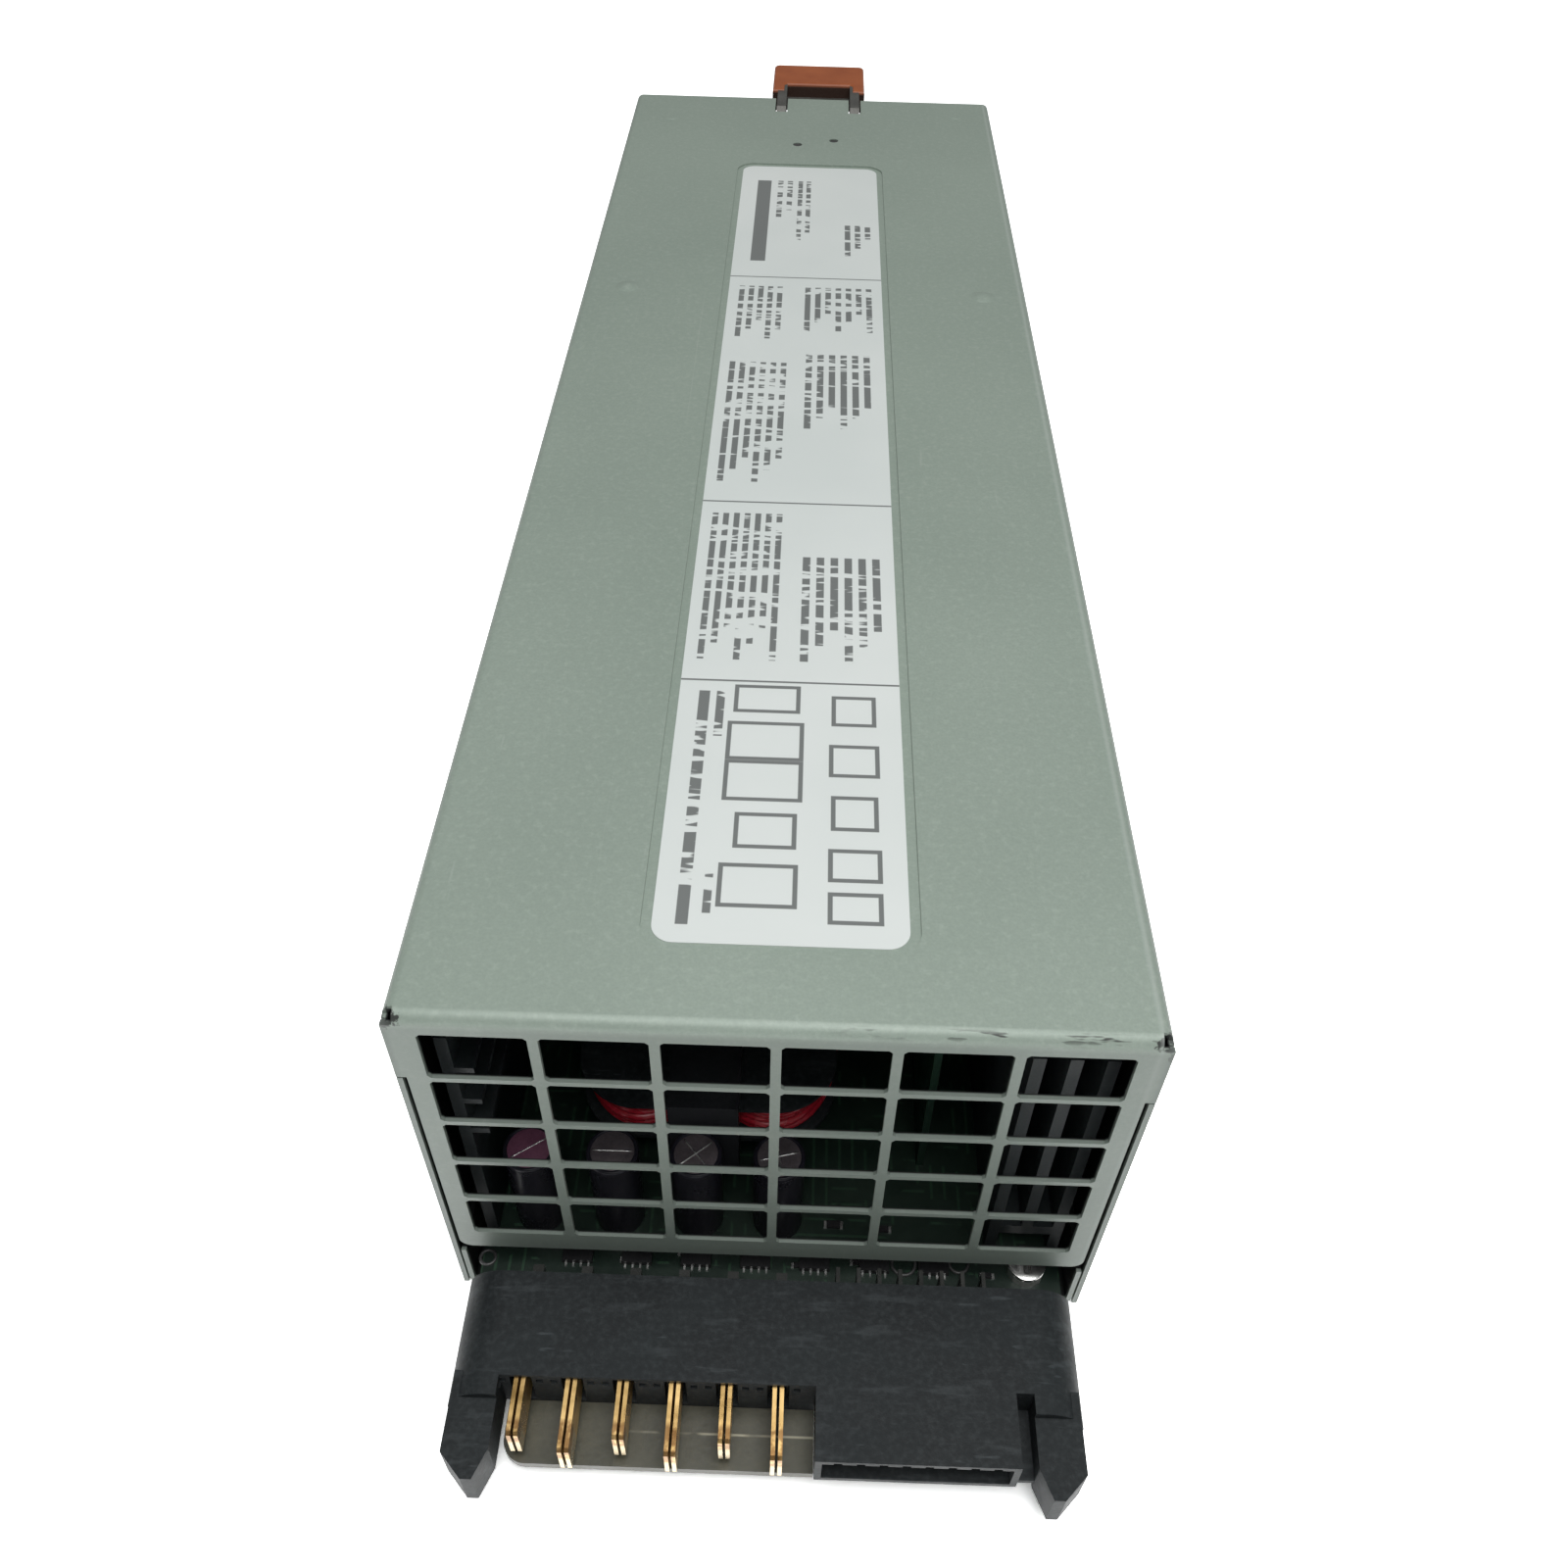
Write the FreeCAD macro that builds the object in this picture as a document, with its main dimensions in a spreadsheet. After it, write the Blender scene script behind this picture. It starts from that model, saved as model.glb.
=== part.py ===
"""Hot swap server power supply, in millimetres, +Z up.

The origin is the centre of the casing's underside. -Y is the connector end, +Y the handle end.
"""
import FreeCAD, Part
import math
import os
import re
import Sketcher

# ---------------------------------------------------------------- driving dimensions

SIZES = {
    # folded sheet casing
    "casing_width": 100.0,
    "casing_length": 316.0,
    "casing_height": 74.6,
    "sheet_steel": 0.8,
    "bend_radius": 1.8,
    "fit_gap": 0.3,
    # exhaust grille folded down from the cover
    "panel_slit": 0.6,
    "panel_bottom": 12.8,
    "panel_corner": 2.0,
    "ear_bottom": "casing_height - 13.6",
    "ear_seam": 0.3,
    "corner_relief": 1.6,
    "grille_margin": 2.8,
    "grille_sill": 4.7,
    "grille_header": 3.6,
    "grille_bar": 1.4,
    "grille_row_bar": 0.9,
    "grille_columns": 6.0,
    "grille_rows": 5.0,
    "window_corner": 0.5,
    # label and its recess in the top sheet
    "label_length": "casing_length - 61.5",
    "label_width": 34.5,
    "label_front": 13.5,
    "label_corner": 3.0,
    "label_thick": 0.15,
    "recess_rim": 1.5,
    "recess_depth": 0.35,
    "dimple_radius": 1.5,
    "dimple_rise": 0.35,
    "dimple_spread": "casing_width - 20",
    "dimple_place": "casing_length / 2 - 118",
    # screws through the cover's sides
    "cover_hole": 1.6,
    "cover_head": 2.6,
    "head_depth": 0.5,
    "screw_play": 0.1,
    # base pan
    "flange_height": 11.0,
    "side_screw_level": 6.0,
    "side_screw_inset": 40.0,
    # main board and what holds it
    "board_level": 5.0,
    "board_thick": 1.6,
    "board_margin": 3.0,
    "board_end_gap": 10.0,
    "insulator_thick": 0.4,
    "standoff_radius": 3.0,
    "board_screw_radius": 1.2,
    "board_screw_head": 3.0,
    "board_screw_spread": "casing_width - 18.4",
    "board_screw_inset": 2.2,
    # power connector
    "housing_rear": 5.3,
    "housing_front": 20.9,
    "housing_top": 16.0,
    "housing_half": "casing_width / 2 - 3.6",
    "housing_shoulder": 6.0,
    "end_block": 2.8,
    "post_inner": "housing_half - 7.7",
    "post_outer": "housing_half - 1",
    "post_shoulder": 30.6,
    "post_reach": 34.7,
    "post_top": 14.6,
    "post_tip": 1.6,
    "blade_count": 6.0,
    "blade_pitch": "casing_width * 0.075",
    "blade_first": "housing_half - 10.7",
    "blade_thick": 0.62,
    "blade_space": 0.42,
    "short_blade": 28.8,
    "long_blade": 30.8,
    "blade_bottom": 8.0,
    "blade_top": 15.1,
    "blade_chamfer": 0.5,
    "shroud_left": "casing_width * 0.072",
    "shroud_right": "post_inner - 2.6",
    "shroud_reach": 31.2,
    "shroud_bottom": 8.6,
    "shroud_wall": 1.0,
    "pin_columns": 8.0,
    "pin_rows": 3.0,
    "pin_pitch": 3.2,
    "pin_row_pitch": 1.7,
    "pin_size": 0.6,
    "pin_reach": 26.6,
    # the board's tongue under the blades
    "tongue_left": "blade_first + 2.5",
    "tongue_right": "shroud_left",
    "tongue_reach": 29.8,
    "tongue_corner": 3.5,
    # output stage behind the grille
    "output_cap_radius": 4.0,
    "output_cap_height": 20.0,
    "output_cap_pitch": "casing_width * 0.129",
    "output_cap_first": "casing_width / 2 - 12.1",
    "output_cap_place": 9.5,
    "choke_x": "casing_width * 0.113",
    "choke_place": 37.2,
    "coil_half_width": "casing_width * 0.204",
    "coil_half_depth": 19.3,
    "coil_corner": 10.0,
    "coil_bottom": 18.0,
    "coil_turns": 4.0,
    "coil_wire": 1.0,
    "bobbin_wall": 1.1,
    "flange_lip": 0.5,
    "flange_thick": 0.8,
    "core_half_width": 5.5,
    "core_post_depth": 8.0,
    "core_leg": 2.6,
    "core_plate": 5.0,
    "core_gap": 0.4,
    # converter stage
    "bulk_cap_radius": 15.0,
    "bulk_cap_height": 48.0,
    "bulk_cap_spread": "casing_width * 0.34",
    "bulk_cap_place": "casing_length / 2 - 92",
    "transformer_x": 8.0,
    "transformer_place": 84.0,
    "transformer_width": 40.0,
    "transformer_height": 38.0,
    "heatsink_start": 5.6,
    "heatsink_length": 112.0,
    "heatsink_top": 62.0,
    "heatsink_wall": 1.8,
    "fin_depth": 2.7,
    "fin_thick": 1.2,
    "control_x": "casing_width / 2 - 26",
    "control_place": 20.0,
    "control_length": 78.0,
    "control_height": 40.0,
    "control_thick": 1.2,
    # fan
    "fan_size": "casing_height - 14.6",
    "fan_x": "casing_width / 2 - 3.2 - fan_size / 2",
    "fan_level": "casing_height / 2 - 3.3",
    "fan_depth": 25.0,
    "fan_bore": "fan_size / 2 - 1.5",
    "fan_hole_spread": "fan_size - 10",
    "fan_hole": 1.9,
    "rotor_hub": "fan_size / 4",
    "rotor_tip": "fan_bore - 1.1",
    "rotor_blades": 7.0,
    "blade_sheet": 1.1,
    "shaft_radius": 1.5,
    "shaft_play": 0.05,
    "guard_wire": 1.2,
    "guard_rings": 3.0,
    "guard_pitch": "fan_size / 8",
    # mains inlet
    "bezel_width": "casing_width - fan_size - 9",
    "inlet_x": "casing_width / 2 - 3 - bezel_width / 2",
    "inlet_level": 22.0,
    "bezel_height": 24.0,
    "bezel_thick": 2.4,
    "inlet_width": "bezel_width - 6.5",
    "inlet_height": 16.6,
    "inlet_depth": 16.0,
    "inlet_wall": 1.4,
    "inlet_pin_spread": "inlet_width * 4 / 7",
    "inlet_pin_offset": 4.0,
    "inlet_pin_width": 2.0,
    "inlet_pin_tall": 4.0,
    # status lamps
    "lens_wide": 3.2,
    "lens_tall": 2.0,
    "lens_pitch": 7.5,
    "lens_level": "casing_height - 26.6",
    # pull handle
    "handle_thick": 2.0,
    "handle_width": 6.0,
    "handle_pin": 2.0,
    "handle_drop": 29.0,
    "handle_level": "casing_height / 2 + 0.7",
    "handle_stand": 7.0,
    "handle_side": 2.0,
    "handle_bend": 5.0,
    "handle_ear": 5.0,
    # release latch
    "latch_x": 1.6,
    "latch_pivot": 36.0,
    "latch_pivot_drop": 6.0,
    "latch_pin_radius": 1.5,
    "arm_inner": 9.0,
    "arm_thick": 2.6,
    "arm_reach": 14.0,
    "slot_length": 10.0,
    "slot_play": 0.4,
    "grip_depth": 11.0,
    "grip_height": 5.4,
    "grip_cheek": 1.3,
    "bracket_half": 8.0,
    "spring_thick": 0.35,
}

doc = FreeCAD.newDocument("power_supply")
sheet = doc.addObject("Spreadsheet::Sheet", "size")
driving = {alias: amount for alias, amount in SIZES.items() if not isinstance(amount, str)}
for row, (alias, amount) in enumerate(driving.items(), start=1):
    sheet.set(f"A{row}", alias)
    sheet.set(f"B{row}", str(amount))
    sheet.setAlias(f"B{row}", alias)
doc.recompute()

# ---------------------------------------------------------------- drawing helpers


def named(text):
    """The same formula with each driving size as a cell of the sheet and each derived size spelled out."""
    def spell(match):
        word = match[0]
        if word in driving:
            return f"size.{word}"
        return f"({named(SIZES[word])})" if word in SIZES else word
    return re.sub(r"[a-z_]+", spell, text)


def number(text):
    """What a formula of sizes comes to."""
    return float(sheet.evalExpression(named(text)))


def bind(thing, field, text):
    """Tie a property to a formula of sizes."""
    thing.setExpression(field, named(text))


def near(value, wanted):
    return abs(value - wanted) < 1e-4


def edge_at(edge, axis, **spot):
    """Whether an edge runs straight along an axis and its middle has the given coordinates."""
    if edge.Curve.TypeId != "Part::GeomLine":
        return False
    along = abs(getattr(edge.Curve.Direction, axis))
    return near(along, 1.0) and all(near(getattr(edge.CenterOfMass, name), value)
                                    for name, value in spot.items())


def polygon(*points):
    """A closed outline of straight lines."""
    return "polygon", points


def rectangle(left, low, right, high):
    return polygon((left, low), (right, low), (right, high), (left, high))


def rounded(left, low, right, high, radius):
    """A rectangle whose corners are arcs."""
    return "rounded", (left, low, right, high, radius)


def cut_corners(left, low, right, high, size):
    """A rectangle whose corners are cut off at 45 degrees."""
    near_left, near_right = f"{left} + {size}", f"{right} - ({size})"
    near_low, near_high = f"{low} + {size}", f"{high} - ({size})"
    return polygon((near_left, low), (near_right, low), (right, near_low), (right, near_high),
                   (near_right, high), (near_left, high), (left, near_high), (left, near_low))


def regular(across, up, radius, sides=12):
    """A small round outline drawn with a few sides, because it repeats."""
    turns = [2 * math.pi * (k + 0.5) / sides for k in range(sides)]
    return polygon(*[(f"{across} + ({radius}) * {math.cos(turn):.6f}",
                      f"{up} + ({radius}) * {math.sin(turn):.6f}") for turn in turns])


def circle(across, up, radius):
    return "circle", (across, up, radius)


def levels(side, low, high):
    """A pad's two levels on one side of the middle."""
    return (f"-({high})", f"-({low})") if side < 0 else (low, high)


class Piece:
    """A PartDesign body, built up feature by feature; levels are measured along the plane's axis."""

    def __init__(self, label):
        self.body = doc.addObject("PartDesign::Body", label)
        self.body.Label = label
        self.cuts = []

    def draw(self, plane, level, shapes):
        """A sketch on an origin plane of the body, moved to a level."""
        drawing = self.body.newObject("Sketcher::SketchObject", "outline")
        base = [part for part in self.body.Origin.OriginFeatures if part.Role == f"{plane}_Plane"][0]
        drawing.AttachmentSupport = [(base, "")]
        drawing.MapMode = "FlatFace"
        bind(drawing, "AttachmentOffset.Base.z", f"-({level})" if plane == "XZ" else level)
        for kind, sizes in shapes:
            getattr(self, f"add_{kind}")(drawing, sizes)
        return drawing

    def fix(self, drawing, rules):
        """Add constraints; each rule is a constraint's arguments and the formula that drives it."""
        made = drawing.addConstraint([Sketcher.Constraint(*rule, number(text)) for rule, text in rules])
        for place, (_, text) in zip(made, rules):
            bind(drawing, f"Constraints[{place}]", text)

    def add_polygon(self, drawing, points):
        spots = [FreeCAD.Vector(number(across), number(up), 0) for across, up in points]
        first = drawing.GeometryCount
        count = len(points)
        lines = [Part.LineSegment(spots[i], spots[(i + 1) % count]) for i in range(count)]
        drawing.addGeometry(lines, False)
        drawing.addConstraint([Sketcher.Constraint("Coincident", first + i, 2, first + (i + 1) % count, 1)
                               for i in range(count)])
        rules = []
        for i, (across, up) in enumerate(points):
            rules.append((("DistanceX", -1, 1, first + i, 1), across))
            rules.append((("DistanceY", -1, 1, first + i, 1), up))
        self.fix(drawing, rules)

    def add_rounded(self, drawing, sizes):
        """Four lines with fixed ends and four arcs of the given radius between them."""
        left, low, right, high, radius = sizes
        inner_left, inner_right = f"{left} + {radius}", f"{right} - ({radius})"
        inner_low, inner_high = f"{low} + {radius}", f"{high} - ({radius})"
        ends = [((inner_left, low), (inner_right, low)), ((right, inner_low), (right, inner_high)),
                ((inner_right, high), (inner_left, high)), ((left, inner_high), (left, inner_low))]
        middles = [(inner_right, inner_low), (inner_right, inner_high),
                   (inner_left, inner_high), (inner_left, inner_low)]
        first = drawing.GeometryCount
        shapes = []
        for start, end in ends:
            shapes.append(Part.LineSegment(FreeCAD.Vector(number(start[0]), number(start[1]), 0),
                                           FreeCAD.Vector(number(end[0]), number(end[1]), 0)))
        for quarter, (across, up) in enumerate(middles):
            ring = Part.Circle(FreeCAD.Vector(number(across), number(up), 0),
                               FreeCAD.Vector(0, 0, 1), number(radius))
            turn = (quarter - 1) * math.pi / 2
            shapes.append(Part.ArcOfCircle(ring, turn, turn + math.pi / 2))
        drawing.addGeometry(shapes, False)
        joins = []
        for i in range(4):
            joins.append(Sketcher.Constraint("Coincident", first + i, 2, first + 4 + i, 1))
            joins.append(Sketcher.Constraint("Coincident", first + 4 + i, 2, first + (i + 1) % 4, 1))
        drawing.addConstraint(joins)
        rules = []
        for i, line in enumerate(ends):
            for end, (across, up) in enumerate(line, start=1):
                rules.append((("DistanceX", -1, 1, first + i, end), across))
                rules.append((("DistanceY", -1, 1, first + i, end), up))
            rules.append((("Radius", first + 4 + i), radius))
        self.fix(drawing, rules)

    def add_circle(self, drawing, sizes):
        across, up, radius = sizes
        middle = FreeCAD.Vector(number(across), number(up), 0)
        ring = drawing.addGeometry(Part.Circle(middle, FreeCAD.Vector(0, 0, 1), number(radius)), False)
        self.fix(drawing, [(("DistanceX", -1, 1, ring, 3), across), (("DistanceY", -1, 1, ring, 3), up),
                           (("Radius", ring), radius)])

    def pad(self, plane, low, high, *shapes):
        """Material between two levels."""
        feature = self.body.newObject("PartDesign::Pad", "pad")
        feature.Profile = self.draw(plane, low, shapes)
        feature.Reversed = plane == "XZ"
        bind(feature, "Length", f"{high} - ({low})")
        self.body.Tip = feature
        return feature

    def cut(self, plane, low, high, *shapes):
        """Material taken away between two levels."""
        feature = self.body.newObject("PartDesign::Pocket", "pocket")
        feature.Profile = self.draw(plane, low, shapes)
        feature.Reversed = plane != "XZ"
        bind(feature, "Length", f"{high} - ({low})")
        self.body.Tip = feature
        self.cuts.append(feature)
        return feature

    def spin(self, *points):
        """A turned form: an outline in radius and height, turned about the body's Z axis."""
        feature = self.body.newObject("PartDesign::Revolution", "turned")
        feature.Profile = self.draw("XZ", "0", [polygon(*points)])
        feature.ReferenceAxis = (feature.Profile[0], ["V_Axis"])
        feature.Angle = 360
        self.body.Tip = feature
        return feature

    def repeat(self, feature, axis, spacing, count):
        """Copies of a feature in a row; axis is H_Axis or V_Axis of its sketch."""
        row = self.body.newObject("PartDesign::LinearPattern", "row")
        row.Originals = [feature]
        row.Direction = (feature.Profile[0], [axis])
        bind(row, "Length", f"({spacing}) * ({count} - 1)")
        row.Occurrences = round(number(count))
        self.body.Tip = row
        return row

    def soften(self, kind, size, choose):
        """Fillet or chamfer the edges that choose picks."""
        doc.recompute()
        base = self.body.Tip
        names = [f"Edge{i}" for i, edge in enumerate(base.Shape.Edges, start=1) if choose(edge)]
        feature = self.body.newObject(f"PartDesign::{kind}", kind.lower())
        feature.Base = (base, names)
        bind(feature, "Radius" if kind == "Fillet" else "Size", size)
        self.body.Tip = feature

    def place(self, across="0", along="0", up="0", turn=None):
        """Put the body where it belongs; turn is an axis and an angle."""
        if turn:
            self.body.Placement.Rotation = FreeCAD.Rotation(FreeCAD.Vector(*turn[0]), turn[1])
        for field, text in (("x", across), ("y", along), ("z", up)):
            bind(self.body, f"Placement.Base.{field}", text)


parts = {}
checked = []


def piece(label):
    """A body that is a sub-part by itself."""
    made = Piece(label)
    parts[label] = made.body
    checked.append(made)
    return made


def pattern_piece(label):
    """A body that is copied into a group."""
    made = Piece(label)
    checked.append(made)
    return made


def solid_feature(label, shape):
    """A sub-part whose shape is worked out with Part's functions."""
    made = doc.addObject("Part::Feature", label)
    made.Label = label
    made.Shape = shape
    parts[label] = made
    return made


def group(label, copies):
    """One node of separate identical solids: pairs of a body and a placement."""
    doc.recompute()
    solids = []
    for source, spot in copies:
        shape = source.body.Shape.copy()
        shape.Placement = spot.multiply(shape.Placement)
        solids.append(shape)
    return solid_feature(label, Part.makeCompound(solids))


def spot(across, along, up, axis=(0, 0, 1), angle=0.0):
    """A placement from formulas."""
    return FreeCAD.Placement(FreeCAD.Vector(number(across), number(along), number(up)),
                             FreeCAD.Rotation(FreeCAD.Vector(*axis), angle))


# ---------------------------------------------------------------- shared levels

FRONT = "(-casing_length / 2)"
REAR = "(casing_length / 2)"
HALF = "(casing_width / 2)"
TOP = "casing_height"
INNER = "(casing_width / 2 - sheet_steel)"
CEILING = "(casing_height - sheet_steel)"
PAN_HALF = "(casing_width / 2 - sheet_steel - fit_gap)"
PANEL_HALF = "(casing_width / 2 - sheet_steel - panel_slit)"
BOARD_TOP = "(board_level + board_thick)"
BOARD_HALF = "(casing_width / 2 - sheet_steel - board_margin)"
FAN_FACE = "(casing_length / 2 - sheet_steel)"
FAN_BACK = "(casing_length / 2 - sheet_steel - fan_depth)"
BOARD_END = f"({FAN_BACK} - board_end_gap)"
OVER = "1"

PAN_SCREWS = ((f"({FRONT} + side_screw_inset)", "side_screw_level"),
              (f"({REAR} - side_screw_inset)", "side_screw_level"))
PLATE_SCREW = (f"({REAR} - 6.5)", "(handle_level - 2)")
COVER_SCREWS = PAN_SCREWS + (PLATE_SCREW,)
BOARD_SCREWS = (("board_screw_spread / 2", f"({FRONT} + board_screw_inset)"),
                ("-board_screw_spread / 2", f"({FRONT} + 128)"),
                ("-board_screw_spread / 2", f"({BOARD_END} - 6)"),
                ("board_screw_spread / 2", f"({BOARD_END} - 6)"))
FAN_CORNERS = [(f"(-fan_x {a} fan_hole_spread / 2)", f"(fan_level {b} fan_hole_spread / 2)")
               for a in "+-" for b in "+-"]
GUARD_CORNERS = FAN_CORNERS[1:3]

# ---------------------------------------------------------------- top cover with its grille


def make_top_cover():
    """Top, sides and grille panel of one folded sheet, with relief cuts at its corners."""
    cover = piece("top_cover")
    cover.pad("XZ", FRONT, REAR, rectangle(f"-{HALF}", "0", HALF, TOP))
    cover.cut("XZ", f"{FRONT} + sheet_steel", f"{REAR} + {OVER}",
              rectangle(f"-{INNER}", f"-{OVER}", INNER, CEILING))
    front, top, half = number(FRONT), number(TOP), number(HALF)
    cover.soften("Fillet", "bend_radius", lambda edge: edge_at(edge, "y", z=top)
                 or edge_at(edge, "x", y=front, z=top))
    ceiling, inside = number(CEILING), number(f"{FRONT} + sheet_steel")
    cover.soften("Fillet", "bend_radius - sheet_steel", lambda edge: edge_at(edge, "y", z=ceiling)
                 or edge_at(edge, "x", y=inside, z=ceiling))
    # the panel stops short of the floor and of the side walls, except at its two ears
    seam = "(ear_bottom - ear_seam)"
    outside = f"({HALF} + {OVER})"
    cover.cut("XZ", f"{FRONT} - {OVER}", f"{FRONT} + sheet_steel + ear_seam",
              polygon((f"-{INNER}", f"-{OVER}"), (INNER, f"-{OVER}"), (INNER, seam), (outside, seam),
                      (outside, "ear_bottom"), (PANEL_HALF, "ear_bottom"), (PANEL_HALF, "panel_bottom"),
                      (f"-{PANEL_HALF}", "panel_bottom"), (f"-{PANEL_HALF}", "ear_bottom"),
                      (f"-{outside}", "ear_bottom"), (f"-{outside}", seam), (f"-{INNER}", seam)))
    cover.cut("YZ", f"-{outside}", outside,
              rectangle(f"{FRONT} + sheet_steel", "ear_bottom - ear_seam",
                        f"{FRONT} + sheet_steel + ear_seam", f"{TOP} - corner_relief + 0.1"))
    for side in (-1, 1):
        near_edge, far_edge = f"{side} * ({HALF} - corner_relief)", f"{side} * {outside}"
        cover.cut("XY", f"{TOP} - corner_relief", f"{TOP} + {OVER}",
                  rectangle(near_edge, f"{FRONT} - {OVER}", far_edge, f"{FRONT} + corner_relief + 0.2"))
    panel_low, panel_side = number("panel_bottom"), number(PANEL_HALF)
    cover.soften("Fillet", "panel_corner", lambda edge: edge_at(edge, "y", z=panel_low)
                 and near(abs(edge.CenterOfMass.x), panel_side))
    cut_grille(cover)
    cut_top_details(cover)


def cut_grille(cover):
    """A row of windows in the sketch, repeated upwards."""
    reach = f"({PANEL_HALF} - grille_margin)"
    width = f"((2 * {reach} - (grille_columns - 1) * grille_bar) / grille_columns)"
    low = "(panel_bottom + grille_sill)"
    height = f"(({TOP} - grille_header - {low} - (grille_rows - 1) * grille_row_bar) / grille_rows)"
    windows = []
    for column in range(round(number("grille_columns"))):
        left = f"(-{reach} + {column} * ({width} + grille_bar))"
        windows.append(cut_corners(left, low, f"({left} + {width})", f"({low} + {height})", "window_corner"))
    first = cover.cut("XZ", f"{FRONT} - {OVER}", f"{FRONT} + sheet_steel + 0.5", *windows)
    cover.repeat(first, "V_Axis", f"{height} + grille_row_bar", "grille_rows")


def cut_top_details(cover):
    """Label recess, latch slots, rivet holes, pressed dimples and side screw holes."""
    start = f"({FRONT} + label_front - recess_rim)"
    end = f"({FRONT} + label_front + label_length + recess_rim)"
    wide = "(label_width / 2 + recess_rim)"
    cover.cut("XY", f"{TOP} - recess_depth", f"{TOP} + {OVER}",
              rounded(f"-{wide}", start, wide, end, "(label_corner + recess_rim)"))
    for side in (-1, 1):
        cover.cut("XY", f"{CEILING} - {OVER}", f"{TOP} + {OVER}",
                  rectangle(f"latch_x + {side} * (arm_inner - slot_play)", f"{REAR} - slot_length",
                            f"latch_x + {side} * (arm_inner + arm_thick + slot_play)",
                            f"{REAR} + {OVER}"))
        cover.cut("XY", f"{CEILING} - {OVER}", f"{TOP} + {OVER}",
                  regular(*RIVETS[(side + 1) // 2], "1.25"))
        cover.pad("XY", f"{TOP} - 0.2", f"{TOP} + dimple_rise",
                  regular(f"{side} * dimple_spread / 2", "dimple_place", "dimple_radius"))
        cover.cut("YZ", *levels(side, f"{HALF} - head_depth", f"{HALF} + {OVER}"),
                  *[regular(along, up, "cover_head + screw_play") for along, up in COVER_SCREWS])
    cover.cut("YZ", f"-{HALF} - {OVER}", f"{HALF} + {OVER}",
              *[regular(along, up, "cover_hole") for along, up in COVER_SCREWS])


PIVOT_Y = f"({REAR} - latch_pivot)"
RIVETS = (("(latch_x - 5.2)", f"({PIVOT_Y} + 2.8)"), ("(latch_x + 4.5)", f"({PIVOT_Y} + 6.1)"))

# ---------------------------------------------------------------- base pan and end plate


def make_base_pan():
    """The floor, with a flange up each side inside the cover."""
    pan = piece("base_pan")
    inner = f"({PAN_HALF} - sheet_steel)"
    pan.pad("XZ", FRONT, REAR, polygon(
        (f"-{PAN_HALF}", "0"), (PAN_HALF, "0"), (PAN_HALF, "flange_height"), (inner, "flange_height"),
        (inner, "sheet_steel"), (f"-{inner}", "sheet_steel"), (f"-{inner}", "flange_height"),
        (f"-{PAN_HALF}", "flange_height")))
    pan.soften("Fillet", "bend_radius - 0.5", lambda edge: edge_at(edge, "y", z=0.0))
    floor = number("sheet_steel")
    pan.soften("Fillet", "bend_radius - sheet_steel - 0.5", lambda edge: edge_at(edge, "y", z=floor))
    pan.cut("YZ", f"-{HALF}", HALF,
            *[regular(along, up, "cover_hole - screw_play") for along, up in PAN_SCREWS])


def make_front_plate():
    """The end plate with fan and inlet openings, side flanges and ears for the pull handle."""
    plate = piece("front_plate")
    half = f"({PAN_HALF} - 0.1)"
    low, high = "(sheet_steel + fit_gap)", f"({CEILING} - fit_gap)"
    lamp = ("(lens_wide / 2 + 0.1)", "(lens_tall / 2 + 0.1)")
    lamps = [rectangle(f"inlet_x + {place} * lens_pitch - {lamp[0]}", f"lens_level - {lamp[1]}",
                       f"inlet_x + {place} * lens_pitch + {lamp[0]}", f"lens_level + {lamp[1]}")
             for place in (-1, 0, 1)]
    screws = [regular(across, up, "fan_hole + 0.3") for across, up in GUARD_CORNERS]
    opening = "(inlet_width / 2 + inlet_wall + 0.2)"
    tall = "(inlet_height / 2 + inlet_wall + 0.2)"
    notch, narrow = "(flange_height + fit_gap)", f"({PAN_HALF} - sheet_steel - fit_gap)"
    plate.pad("XZ", f"{REAR} - sheet_steel", REAR, polygon(
        (f"-{narrow}", low), (narrow, low), (narrow, notch), (half, notch), (half, high),
        (f"-{half}", high), (f"-{half}", notch), (f"-{narrow}", notch)),
              circle("-fan_x", "fan_level", "fan_bore - 0.5"),
              rectangle(f"inlet_x - {opening}", f"inlet_level - {tall}",
                        f"inlet_x + {opening}", f"inlet_level + {tall}"), *lamps, *screws)
    for side in (-1, 1):
        outer, inner = f"{side} * {half}", f"{side} * ({half} - sheet_steel)"
        plate.pad("XY", "flange_height + 2", f"{CEILING} - 12",
                  rectangle(outer, f"{REAR} - 12", inner, f"{REAR} - sheet_steel"))
        ear = f"({REAR} + handle_stand + handle_ear)"
        plate.pad("XY", "handle_level - handle_ear", "handle_level + handle_ear",
                  rectangle(outer, REAR, inner, ear))
        plate.cut("XY", f"{CEILING} - latch_pivot_drop - 0.2", f"{TOP} + {OVER}",
                  rectangle(f"latch_x + {side} * (arm_inner - slot_play)", f"{REAR} - 2",
                            f"latch_x + {side} * (arm_inner + arm_thick + slot_play)", f"{REAR} + 2"))
    tip = number(f"{REAR} + handle_stand + handle_ear")
    plate.soften("Fillet", "handle_ear - 0.5", lambda edge: edge_at(edge, "x", y=tip))
    plate.cut("YZ", f"-{HALF}", HALF,
              circle(f"{REAR} + handle_stand", "handle_level", "handle_pin + shaft_play"),
              regular(*PLATE_SCREW, "cover_hole - screw_play"))


# ---------------------------------------------------------------- board and what holds it


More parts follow.
